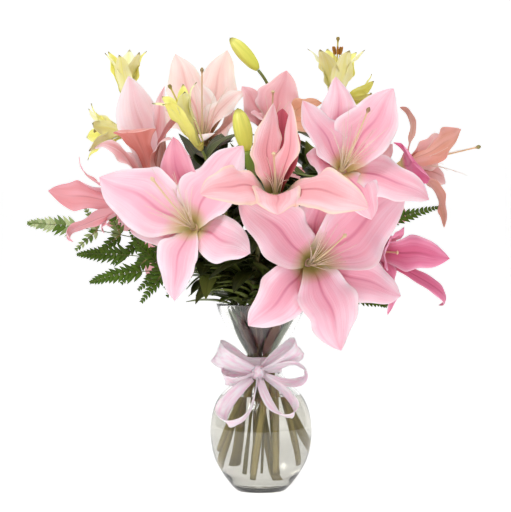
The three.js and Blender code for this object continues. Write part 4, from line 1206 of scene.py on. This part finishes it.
def cone(bloom, profile, **kind):
    """The closed back of a bloom, turned about its axis."""
    axis = heading(bloom["az"], bloom["el"])
    return spun(round_profile(profile, 4), bloom["at"], axis, 24, **kind)


# ---------------------------------------------------------------- stems, leaves and ferns


def head_foot(name):
    """Where a head meets its stalk, the way the stalk arrives there and its radius."""
    if name in BUDS:
        bud = BUDS[name]
        toward = unit(np.subtract(bud["to"], bud["at"]))
        return np.array(bud["at"]) - AIR * toward, toward, BUD_STALK
    small = name in YELLOW_LILIES
    bloom = YELLOW_LILIES[name] if small else PINK_LILIES[name]
    behind, depth, radius = YELLOW_SEAT if small else PINK_SEAT
    axis = heading(bloom["az"], bloom["el"])
    toward = heading(*bloom["from"]) if "from" in bloom else axis
    middle = np.array(bloom["at"]) - behind * axis
    return middle - (depth + AIR) * toward, toward, radius


def ring_point(ring, lean, bearing, height):
    """A stem's point at a height in the vase."""
    start = math.radians(bearing - NECK_TURN)
    slide = lean * (height - NECK_HEIGHT)
    return np.array([
        ring * math.cos(start) - slide * math.sin(start),
        ring * math.sin(start) + slide * math.cos(start),
        height,
    ])


def lily_point(stem, height):
    """The point of a lily stem at a height in the vase."""
    return ring_point(LILY_RING, stem["lean"], stem["bearing"], height)


def fern_point(frond, height):
    """The point of a fern stalk at a height in the vase."""
    return ring_point(FERN_RING, FERN_LEAN, frond["bearing"], height)


def bent_ends(start, ahead, end, toward, ease):
    """Ends of the cubic curve that leaves start along ahead and reaches end along toward."""
    leave, arrive = ease
    length = np.linalg.norm(end - start)
    return np.array([start, start + leave * length * ahead, end - arrive * length * toward, end])


def stalk_path(low, high, ends, rows):
    """Points along a stalk: straight in the vase, then along the curve of its bent part."""
    straight = np.linspace(0, 1, rows)[:-1, None]
    return np.vstack([low + straight * (high - low), cubic(ends, np.linspace(0, 1, BENT_ROWS))])


def leaf(root, shape, seed, slot=1):
    """A lance-shaped leaf that leaves root at a bearing and arches over; its width rises
    quickly and falls slowly to the point, and it is folded a little along the midrib. Its
    shape is [bearing, length, rise at the root, rise at the tip, width]."""
    bearing, length, rise, end_rise, width = shape
    chance = np.random.default_rng(seed)
    u = np.linspace(0, 1, LEAF_ROWS)
    tilt = np.radians(rise + (end_rise - rise) * np.clip(u + LEAF_LEAD, 0, 1))
    out = bearing_vector(bearing)
    across = np.cross(out, UP)
    along = np.cos(tilt)[:, None] * out + np.sin(tilt)[:, None] * UP
    steps = np.vstack([np.zeros(3), (along[1:] + along[:-1]) / 2])
    middle = np.asarray(root) + np.cumsum(steps, axis=0) * length / (LEAF_ROWS - 1)
    normal = np.cross(across, along)
    half = (width / 2) * np.interp(u, LEAF_PLACES, LEAF_WIDTHS)
    swing = chance.uniform(-LEAF_SWING, LEAF_SWING) * width
    middle = middle + (swing * np.sin(math.pi * u))[:, None] * across
    column = half[:, None]

    def bend(u, v):
        ripple = LEAF_RIPPLE * column * np.sin(9 * u + 6 * v)
        return LEAF_FOLD * column * np.abs(v) + ripple * np.abs(v)

    return blade(
        middle, np.tile(across, (LEAF_ROWS, 1)), normal, half, LEAF_THICK, 14, bend,
        tone=chance.uniform(0, 1), slot=slot,
    )


def mouth_leaves(stem, chance):
    """A stem's leaves that stand in the vase's mouth and those that lie over its rim."""
    made = []

    def start(group, k):
        root = lily_point(stem, group["height"] + group["step"] * k)
        out = math.degrees(math.atan2(root[1], root[0]))
        return root, out + chance.uniform(-group["spread"], group["spread"])

    group = TRUMPET_LEAVES
    for k in range(group["count"]):
        root, bearing = start(group, k)
        rise = chance.uniform(*group["rises"][k % 2])
        # Leaves at the sides get the lightened pale green, painted light; those at the front and back
        # are old and brown.
        slot = LIGHTENED_LEAF if abs(math.cos(math.radians(bearing))) > 0.7 else OLD_LEAF
        length = group["length"] - group["shorter"] * k
        shape = [bearing, length, rise, rise - 3, group["width"]]
        made.append(leaf(root, shape, stem["foot"] * 50 + k, slot))
    group = COLLAR_LEAVES
    for k in range(group["count"]):
        root, bearing = start(group, k)
        draws = [chance.uniform(*group[key]) for key in ("lengths", "rises", "end_rises")]
        made.append(leaf(root, [bearing, *draws, group["width"]], stem["foot"] * 70 + k))
    return made


def heart_leaves(stem, ends, chance):
    """The leaves along a stem's bent part that stay inside the heart of the bunch."""
    made = []
    for k in range(HEART_LEAVES):
        root = cubic(ends, chance.uniform(0.0, 0.95))
        bearing = chance.uniform(0, 360)
        length, rise, end_rise, width = (chance.uniform(*span) for span in HEART_SHAPE.values())
        tip = root + length * bearing_vector(bearing, (rise + end_rise) / 2)
        if any(np.linalg.norm((tip - middle) / reach) < 1 for middle, reach in HEARTS):
            shape = [bearing, length, rise, end_rise, width]
            made.append(leaf(root, shape, stem["foot"] * 100 + k))
    return made


def stem_parts(name):
    """Main stalk from the bottom of the vase to its top head, side stalks and leaves."""
    stem = STEMS[name]
    end, toward, radius = head_foot(stem["heads"][0][0])
    low, neck, high = (lily_point(stem, z) for z in (stem["foot"], NECK_HEIGHT, BEND_HEIGHT))
    ends = bent_ends(high, unit(high - neck), end, toward, STEM_EASE)
    path = stalk_path(low, high, ends, 24)
    share = np.linspace(0, 1, len(path))
    radii = LILY_RADIUS - (LILY_RADIUS - radius) * rising(share, 0.3, 0.7) - NODE_SWELL
    knots = NODE_SWELL * bump((share * STEM_NODES) % 1, 0.5, 0.08)
    made = [tube(path, radii + knots, 14, along=share[:, None], tone=stem["bearing"] % 7 / 7)]
    t = np.linspace(0, 1, 26)
    for head, start in stem["heads"][1:]:
        end, toward, radius = head_foot(head)
        ahead = unit(cubic_pace(ends, start))
        side = cubic(bent_ends(cubic(ends, start), ahead, end, toward, SIDE_EASE), t)
        made.append(tube(side, np.full(26, radius - 0.1), 12, along=0.5 + t[:, None] / 2))
    for k, (place, *shape) in enumerate(stem["leaves"]):
        root = lily_point(stem, place) if place > 1 else cubic(ends, place)
        made.append(leaf(root, shape, stem["foot"] * 10 + k))
    chance = np.random.default_rng(stem["foot"])
    return made + mouth_leaves(stem, chance) + heart_leaves(stem, ends, chance)


def leaflet(root, along, normal, length, width, tone):
    """A small pointed fern leaflet: a flat oval that is wide from its foot and droops by the
    square of the distance along it."""
    rows = len(LEAFLET_WIDTHS)
    u = np.linspace(0, 1, rows)
    across = np.cross(along, normal)
    half = width / 2 * LEAFLET_WIDTHS
    droop = -LEAFLET_DROOP * length * u * u
    middle = root + u[:, None] * length * along + droop[:, None] * normal
    return blade(
        middle, np.tile(across, (rows, 1)), np.tile(normal, (rows, 1)), half, LEAFLET_THICK, 6,
        tone=tone,
    )


def pinna(rib, normal, size, tones, chance, length):
    """Leaflets in pairs along a rib, long at its foot and shorter to its point, and one at
    its end. Each leans forward and touches the next at its foot."""
    made = []
    count = max(int(length / LEAFLET_ROOM), 5)
    share = np.linspace(0, 1, len(rib))

    def spot(place):
        return np.array([np.interp(place, share, rib[:, k]) for k in range(3)])

    ahead, aside = LEAFLET_LEAN
    for n in range(count):
        place = 1 - (1 - (n + 0.35) / count) ** 1.35
        root = spot(place)
        along = unit(spot(min(place + 0.05, 1)) - spot(place - 0.05))
        beside = unit(np.cross(along, normal))
        long = (size * (1 - place) ** 0.75 + 2.0) * chance.uniform(0.88, 1.12)
        wide = min(0.5 * long + 1.2, 1.25 * length / count)
        for hand in (-1, 1):
            way = unit(ahead * along + aside * hand * beside)
            tilted = normal + chance.uniform(-LEAFLET_TILT, LEAFLET_TILT) * beside
            tilted = unit(tilted - tilted @ way * way)
            made.append(leaflet(root, way, tilted, long, wide, chance.uniform(*tones)))
    end = unit(rib[-1] - rib[-2])
    flat = unit(normal - normal @ end * end)
    made.append(leaflet(rib[-2], end, flat, 3.5, 1.6, chance.uniform(*tones)))
    return made


def frond_parts(name):
    """Arched rib on a stalk. Side ribs leave it in pairs, each shorter than the one before it,
    and carry leaflets in pairs; the end of the main rib carries leaflets of its own."""
    frond = FRONDS[name]
    chance = np.random.default_rng(ord(name))
    low, neck, high = (fern_point(frond, z) for z in (FERN_FOOT, NECK_HEIGHT, BEND_HEIGHT))
    tip = np.array(frond["tip"], float)
    toward = bearing_vector(*frond["end"])
    ends = bent_ends(high, unit(high - neck), tip, toward, FERN_EASE)
    face = unit(frond["face"])
    path = stalk_path(low, high, ends, 10)
    share = np.linspace(0, 1, len(path))
    made = [tube(path, 1.1 - 0.7 * smooth(share), 8, along=share[:, None], slot=1)]
    pairs = frond["pairs"]
    first = frond.get("first", FIRST_PAIR)
    spacing = (1 - first) / (pairs + 0.4)
    sides = pairs - TIP_PAIRS
    forward, aside = SIDE_RIB_LEAN
    u = np.linspace(0, 1, 12)[:, None]
    for k in range(sides):
        at = first + (k + 0.36) * spacing
        ahead = unit(cubic_pace(ends, at))
        side = unit(np.cross(ahead, face))
        normal = unit(np.cross(side, ahead))
        length = frond["reach"] * (1 - 0.72 * (k / pairs) ** 1.3) * (0.75 if k == 0 else 1)
        age = rising(k / pairs, 0.3, 0.35) if name in PALE_TIPS else 0
        tones = (0.55 * age, 0.55 + 0.4 * age)
        for hand in (-1, 1):
            along = unit(forward * ahead + aside * hand * side)
            rib = cubic(ends, at) + u * length * along - SIDE_RIB_DROOP * length * u * u * normal
            made.append(tube(rib, 0.8 - 0.4 * u[:, 0], 6, along=u, slot=1))
            made += pinna(rib, normal, 0.23 * length, tones, chance, length)
    at = first + (sides + 0.2) * spacing
    rib = cubic(ends, np.linspace(at, 1, 24))
    ahead = unit(cubic_pace(ends, (at + 1) / 2))
    normal = unit(np.cross(unit(np.cross(ahead, face)), ahead))
    length = np.linalg.norm(rib[-1] - rib[0])
    tones = (0.6, 1.0) if name in PALE_TIPS else (0.0, 0.55)
    return made + pinna(rib, normal, 0.3 * frond["reach"], tones, chance, length)


# ---------------------------------------------------------------- ribbon


def ribbon_strip(middle, along, across, half, tone):
    """A satin strip along middle. With v across it from -1 to 1, its edges curl up by v^2; near
    the knot it is pleated by a cosine in v, and elsewhere creased by the sizes of two sines
    that run across it at a slant."""
    normal = unit(np.cross(along, across))
    column = np.asarray(half)[:, None]
    start = 6 * tone

    def bend(u, v):
        gathered = np.exp(-np.minimum(u, 1 - u) / PLEAT_REACH)
        pleats = PLEAT * gathered * np.cos(3 * math.pi * v + start)
        creases = np.abs(np.sin(7 * u + 2.2 * v + start))
        creases = creases + np.abs(np.sin(11 * u - 3.1 * v - start))
        return STRIP_CUP * column * v * v + pleats + CREASE * (creases - 1.2) * (1 - gathered)

    return blade(middle, across, normal, half, RIBBON_THICK * 0.7, 16, bend, tone=tone)


def ribbon_loop(values, tone):
    """One loop: it leaves the knot, turns at the far end and comes back along a teardrop, whose
    reach is a sine of half a turn and whose opening is a sine of a whole one. The strip's face
    turns from one angle to another on the way."""
    bearing, length, opening, width, turn_start, turn_end, lean, fall, roll = values
    bearing = math.radians(bearing)
    out = unit([math.cos(bearing), -lean, math.sin(bearing)])
    level = unit(np.array([0, -1, 0]) + out[1] * out)
    roll = math.radians(roll)
    depth = math.cos(roll) * level + math.sin(roll) * np.cross(out, level)
    flat = np.cross(out, depth)
    t = KNOT_HIDES + (1 - 2 * KNOT_HIDES) * np.linspace(0, 1, 48)
    turn = math.pi * t
    middle = (
        np.array(KNOT, float)
        + (length * np.sin(turn))[:, None] * out
        + (opening / 2 * np.sin(2 * turn))[:, None] * flat
        + (fall * np.sin(turn) ** 2)[:, None] * np.array([0, 1, 0])
    )
    along = unit(
        (length * np.cos(turn))[:, None] * out + (opening * np.cos(2 * turn))[:, None] * flat
    )
    aside = unit(np.cross(along, depth))
    angle = np.radians(turn_start + (turn_end - turn_start) * t)[:, None]
    across = np.cos(angle) * depth + np.sin(angle) * aside
    half = width / 2 * (KNOT_PINCH + (1 - KNOT_PINCH) * np.sin(turn))
    return ribbon_strip(middle, along, across, half, tone)


def ribbon_band():
    """The band round the neck: a strip carried round the vase's axis, flared at its edges to
    follow the neck, with shallow folds that are a sine across it."""
    turn = np.linspace(-0.5 * math.pi, 1.5 * math.pi, BAND_STEPS)
    (low, bottom), (waist, _), (high, top) = BAND
    radius = (low + waist) / 2 + 0.6
    flat = np.zeros(BAND_STEPS)
    middle = np.stack([radius * np.cos(turn), radius * np.sin(turn), flat + (bottom + top) / 2], -1)
    along = np.stack([-np.sin(turn), np.cos(turn), flat], -1)
    across = np.tile(UP, (BAND_STEPS, 1))
    half = flat + (top - bottom) / 2

    def bend(u, v):
        flare = np.interp(v, [-1, 0, 1], [low - radius, waist - radius, high - radius])
        return flare + 1.0 + 0.25 * np.sin(5 * math.pi * v)

    return blade(middle, across, np.cross(along, across), half, 0.6, 20, bend, tone=0.3)


# ---------------------------------------------------------------- backdrop


def sweep_mesh(rows):
    """Table, quarter-round bend and upright backdrop in one surface: the first third of the
    rows runs back along the table, the second turns up and the last climbs."""
    share = 3 * np.linspace(0, 1, rows)
    bend = np.clip(share - 1, 0, 1) * math.pi / 2
    front, level, radius, tall, half = SWEEP
    back = front + level * np.clip(share, 0, 1) + radius * np.sin(bend)
    height = radius * (1 - np.cos(bend)) + tall * np.clip(share - 2, 0, 1)
    points = np.zeros((rows, 2, 3))
    points[:, 0, 0], points[:, 1, 0] = -half, half
    points[..., 1], points[..., 2] = back[:, None], height[:, None] - SWEEP_DROP
    index = np.arange(rows * 2).reshape(rows, 2)
    faces = np.stack([index[:-1, 0], index[:-1, 1], index[1:, 1], index[1:, 0]], -1)
    mesh = bpy.data.meshes.new("backdrop")
    mesh.from_pydata(points.reshape(-1, 3).tolist(), [], faces.tolist())
    mesh.polygons.foreach_set("use_smooth", np.ones(len(faces), bool))
    return mesh


# ---------------------------------------------------------------- settings


class BouquetSizes(bpy.types.PropertyGroup):
    """Sizes that may be changed without moving any bloom."""

    petal_thickness: FloatProperty(
        name="Petal thickness", description="Thickness of a petal along its midrib, in mm",
        default=0.9, min=0.3, max=1.5,
    )
    groove: FloatProperty(
        name="Midrib groove", description="Depth of the groove along a petal, in mm",
        default=0.7, min=0.0, max=1.5,
    )
    roll: FloatProperty(
        name="Edge roll",
        description="How far a petal's edges roll back, as a share of its half width",
        default=0.1, min=0.0, max=0.3,
    )
    wave: FloatProperty(
        name="Edge wave", description="Wave of a petal's edge, as a share of its half width",
        default=0.2, min=0.0, max=0.3,
    )
    camera_distance: FloatProperty(
        name="Camera distance", description="From the vase's axis to the camera",
        default=1.9, min=0.5, max=5.0, unit="LENGTH",
    )
    camera_height: FloatProperty(
        name="Camera height", description="Above the table", default=0.2345, unit="LENGTH",
    )
    camera_aside: FloatProperty(
        name="Camera offset", description="Sideways from the vase's axis",
        default=-0.0055, unit="LENGTH",
    )
    lens: FloatProperty(
        name="Lens", description="Focal length on a 36 mm sensor, in mm", default=133.6,
    )
    sweep_rows: IntProperty(
        name="Backdrop steps", description="Rows in the curve of the backdrop", default=40,
    )


class BouquetColours(bpy.types.PropertyGroup):
    """Colours that may be changed."""

    ribbon: FloatVectorProperty(
        name="Ribbon", description="Colour of the satin", subtype="COLOR",
        default=linear("#fff0f6")[:3], min=0.0, max=1.0,
    )
    floor: FloatVectorProperty(
        name="Floor", description="Colour of the table and the backdrop", subtype="COLOR",
        default=linear("#fbfbfb")[:3], min=0.0, max=1.0,
    )


# ---------------------------------------------------------------- operators


class BOUQUET_OT_vase(bpy.types.Operator):
    """Builds the glass vase and the water in it."""

    bl_idname = "bouquet.vase"
    bl_label = "Vase and water"

    def execute(self, context):
        outside = round_profile(VASE_OUTSIDE[2:], 6)
        inside = round_profile(VASE_INSIDE[1:], 6)
        profile = np.vstack([VASE_FOOT, outside[:-1], [VASE_LIP], inside[::-1], [[0.05, 9]]])
        glass = piece(
            "glass_vase", [spun(profile, [0, 0, 0], UP, VASE_AROUND)], [soda_glass()], "vase",
        )
        below = inside[inside[:, 1] < WATER_LEVEL] + [WATER_OVERLAP, 0]
        wall = np.interp(WATER_LEVEL, inside[:, 1], inside[:, 0]) + WATER_OVERLAP
        edge, drop = WATER_EDGE
        level = [
            [wall, WATER_LEVEL],
            [wall - edge, WATER_LEVEL - drop],
            [0.05, WATER_LEVEL - WATER_DROP],
        ]
        profile = np.vstack([[[0.05, 8.9]], below, level])
        water = piece(
            "vase_water", [spun(profile, [0, 0, 0], UP, VASE_AROUND)], [vase_water()], "water",
        )
        # Light reaches the stems through the clear walls, as it does in a real vase.
        for clear in (glass, water):
            clear.visible_shadow = False
        return {"FINISHED"}


class BOUQUET_OT_stems(bpy.types.Operator):
    """Builds the lily stems with their side stalks and leaves."""

    bl_idname = "bouquet.stems"
    bl_label = "Stems and leaves"

    def execute(self, context):
        # Colour along a stalk: pale straw in the bulb, its own pale colour brightened further as painted
        # light where little light reaches it through the glass; dark brown through the neck; green
        # above.
        skin = plant_skin(
            "lily_stalk",
            [
                (0.0, "#c9b878"), (0.2, "#b9aa5c"), (0.28, "#5c5030"), (0.5, "#4a5526"),
                (1.0, "#7c8f3f"),
            ],
            0.45, 3, "#6b5f34",
        )
        blade_skin = leaf_skin("lily_leaf", "#47541f", "#1f260f", "#5d6a30", "#7f8c45", 0.4)
        # Pale green for the leaves in the vase's mouth, lightened as painted light against the shade
        # inside the bunch.
        lightened_skin = leaf_skin("lightened_leaf", "#93a36c", "#52643a", "#b4c093", "#b9c4a0", 0.3)
        old_skin = leaf_skin("old_leaf", "#8a6353", "#3f2a20", "#a3866e", "#a08070", 0.5)
        skins = [skin, blade_skin, lightened_skin, old_skin]
        for name in STEMS:
            piece(f"lily_stem_{name}", stem_parts(name), skins, f"stem_{name}")
        return {"FINISHED"}


class BOUQUET_OT_ferns(bpy.types.Operator):
    """Builds the fern fronds."""

    bl_idname = "bouquet.ferns"
    bl_label = "Fern fronds"

    def execute(self, context):
        skin = leaf_skin("fern_leaflet", "#628714", "#2b4407", "#4c6a18", "#c3d09c", 0.55)
        rib = plant_skin(
            "fern_rib", [(0.0, "#b3a566"), (0.2, "#9a8f52"), (0.3, "#4c5222"), (1.0, "#5f7426")],
            0.6, 2, "#4a4a24",
        )
        for name in FRONDS:
            piece(f"fern_frond_{name}", frond_parts(name), [skin, rib], f"frond_{name}")
        return {"FINISHED"}


class BOUQUET_OT_pink_lilies(bpy.types.Operator):
    """Builds the pink lilies: petals, closed back, pistil and filaments."""

    bl_idname = "bouquet.pink_lilies"
    bl_label = "Pink lilies"

    def execute(self, context):
        sizes = context.scene.bouquet_sizes
        thread = plant_skin(
            "lily_filament", [(0.0, "#d5d59a"), (0.4, "#efe3c9"), (1.0, "#f3dccb")],
            0.5, 2, "#d8b0a0",
        )
        for order, (name, bloom) in enumerate(PINK_LILIES.items()):
            tints = PINK_TINTS[name]
            skin = lily_petal(f"lily_petal_{name}", *tints)
            back = plant_skin(
                f"lily_back_{name}", [(0.0, "#8f9c48"), (1.0, tints[2])], 0.5, 3, "#c9b26a",
            )
            skins = [skin, back]
            slots = dict.fromkeys(range(6), 0)
            # Petals with their own tint; the dark ones of c, d and f are painted shade.
            for k, own in PETAL_TINTS.get(name, {}).items():
                slots[k] = len(skins)
                skins.append(lily_petal(f"lily_petal_{name}{k}", *own))
            petals = [
                petal(bloom, k, PINK_ROOT, PINK_TUBE, sizes, 100 * order + k, slots[k])
                for k in range(6)
            ]
            closed = cone(bloom, PINK_CONE, slot=1)
            piece(f"pink_lily_{name}", petals + [closed], skins, f"lily_{name}_petals")
            style = plant_skin(
                f"lily_pistil_{name}",
                [
                    (0.0, "#c9cf8a"), (0.5, "#ecd9b6"), (0.93, "#e6bf9c"),
                    (0.96, STIGMAS.get(name, "#e9cfa6")),
                ],
                0.45, 2, "#c9a878",
            )
            piece(f"pistil_{name}", stamens(bloom), [style, thread], f"lily_{name}_stamens")
        return {"FINISHED"}


class BOUQUET_OT_yellow_lilies(bpy.types.Operator):
    """Builds the small yellow lilies and the buds."""

    bl_idname = "bouquet.yellow_lilies"
    bl_label = "Yellow lilies and buds"

    def execute(self, context):
        sizes = context.scene.bouquet_sizes
        skin = yellow_petal("yellow_petal")
        style = plant_skin(
            "yellow_pistil", [(0.0, "#c9cf6a"), (0.9, "#d9c75c"), (0.96, "#7d6a2c")],
            0.45, 2, "#b7a24a",
        )
        pollen = plant_skin("anther", [(0.0, "#c98d2e"), (1.0, "#a8691e")], 0.8, 3, "#8a5418")
        for order, (name, bloom) in enumerate(YELLOW_LILIES.items()):
            petals = [
                petal(bloom, k, YELLOW_ROOT, YELLOW_TUBE, sizes, 5000 + 100 * order + k)
                for k in range(6)
            ]
            closed = cone(bloom, YELLOW_CONE, slot=1)
            middle = [closed, small_pistil(bloom), *anthers(bloom, ANTHERS.get(name, 0))]
            piece(f"yellow_lily_{name}", petals + middle, [skin, style, pollen], f"lily_{name}")
        bud_skin = plant_skin(
            "bud_skin",
            [
                (0.0, "#93a23c"), (0.2, "#eeec5a"), (0.75, "#fff684"), (0.88, "#a8923c"),
                (0.95, "#3f3018"),
            ],
            0.4, 4, "#bcc840",
        )
        foot_skin = plant_skin(
            "bud_foot", [(0.0, "#5f7a22"), (0.6, "#7f9a34"), (1.0, "#a9b848")], 0.4, 4, "#4c6418",
        )
        for name, bud in BUDS.items():
            axis = np.subtract(bud["to"], bud["at"])
            length = float(np.linalg.norm(axis))
            profile = round_profile(BUD_SHARES, 6) * [bud["radius"] * BUD_SLIM, length]
            made = [spun(profile, bud["at"], unit(axis), 30, 3, BUD_RIDGES)]
            if name in BUD_FEET:
                foot = round_profile(BUD_FEET[name], 5)
                made.append(spun(foot, bud["at"], unit(axis), 24, 3, BUD_FOOT_RIDGES, slot=1))
            piece(f"lily_bud_{name}", made, [bud_skin, foot_skin], f"bud_{name}")
        return {"FINISHED"}


class BOUQUET_OT_ribbon(bpy.types.Operator):
    """Builds the satin ribbon round the neck and its bow."""

    bl_idname = "bouquet.ribbon"
    bl_label = "Ribbon"

    def execute(self, context):
        made = [ribbon_band()]
        made += [ribbon_loop(values, k / len(LOOPS)) for k, values in enumerate(LOOPS)]
        knot = round_profile(KNOT_PROFILE, 5)
        made.append(spun(knot, KNOT, unit(KNOT_AXIS), 36, *KNOT_GATHERS, tone=0.8))
        skin = satin(context.scene.bouquet_colours.ribbon)
        bow = piece("satin_bow", made, [skin], "ribbon")
        return {"FINISHED"}


class BOUQUET_OT_stage(bpy.types.Operator):
    """Builds the table and backdrop, the lights and the camera."""

    bl_idname = "bouquet.stage"
    bl_label = "Stage"

    def execute(self, context):
        scene = context.scene
        sizes = scene.bouquet_sizes
        sweep = bpy.data.objects.new("backdrop", sweep_mesh(sizes.sweep_rows))
        sweep.data.materials.append(white_paper(scene.bouquet_colours.floor))
        scene.collection.objects.link(sweep)
        for name, place, size, power in STAGE_LIGHTS:
            light = bpy.data.lights.new(name, "AREA")
            light.size = size
            light.energy = power
            lamp = bpy.data.objects.new(name, light)
            lamp.location = place
            aim = np.array([0, 0, LIT_HEIGHT]) - np.array(place)
            tip = math.atan2(math.hypot(aim[0], aim[1]), -aim[2])
            lamp.rotation_euler = (tip, 0, math.atan2(aim[0], -aim[1]) + math.pi)
            scene.collection.objects.link(lamp)
        world = bpy.data.worlds.new("studio")
        world.use_nodes = True
        sky = world.node_tree.nodes["Background"].inputs
        sky["Color"].default_value = WHITE
        sky["Strength"].default_value = WORLD_STRENGTH
        scene.world = world
        scene.view_settings.view_transform = "Standard"
        camera = bpy.data.cameras.new("camera")
        camera.lens = sizes.lens
        camera.sensor_width = SENSOR_WIDTH
        camera.clip_end = CLIP_END
        eye = bpy.data.objects.new("camera", camera)
        eye.location = (sizes.camera_aside, -sizes.camera_distance, sizes.camera_height)
        eye.rotation_euler = (math.pi / 2, 0, 0)
        scene.collection.objects.link(eye)
        scene.camera = eye
        return {"FINISHED"}


class BOUQUET_PT_panel(bpy.types.Panel):
    """Lists the operators and settings in the 3D view's sidebar."""

    bl_idname = "BOUQUET_PT_panel"
    bl_label = "Bouquet"
    bl_space_type = "VIEW_3D"
    bl_region_type = "UI"
    bl_category = "Bouquet"

    def draw(self, context):
        for operator in OPERATORS:
            self.layout.operator(operator.bl_idname)
        for group in (context.scene.bouquet_sizes, context.scene.bouquet_colours):
            for name in group.bl_rna.properties.keys():
                if name not in ("rna_type", "name"):
                    self.layout.prop(group, name)


OPERATORS = (
    BOUQUET_OT_stage,
    BOUQUET_OT_vase,
    BOUQUET_OT_stems,
    BOUQUET_OT_ferns,
    BOUQUET_OT_pink_lilies,
    BOUQUET_OT_yellow_lilies,
    BOUQUET_OT_ribbon,
)
CLASSES = (BouquetSizes, BouquetColours, *OPERATORS, BOUQUET_PT_panel)


def register():
    """Registers the classes and puts the settings on the scene."""
    for made in CLASSES:
        bpy.utils.register_class(made)
    bpy.types.Scene.bouquet_sizes = PointerProperty(type=BouquetSizes)
    bpy.types.Scene.bouquet_colours = PointerProperty(type=BouquetColours)


def unregister():
    """Undoes register."""
    del bpy.types.Scene.bouquet_colours
    del bpy.types.Scene.bouquet_sizes
    for made in reversed(CLASSES):
        bpy.utils.unregister_class(made)


def main():
    """Builds everything."""
    register()
    for operator in OPERATORS:
        group, name = operator.bl_idname.split(".")
        getattr(getattr(bpy.ops, group), name)()


if __name__ == "__main__":
    main()
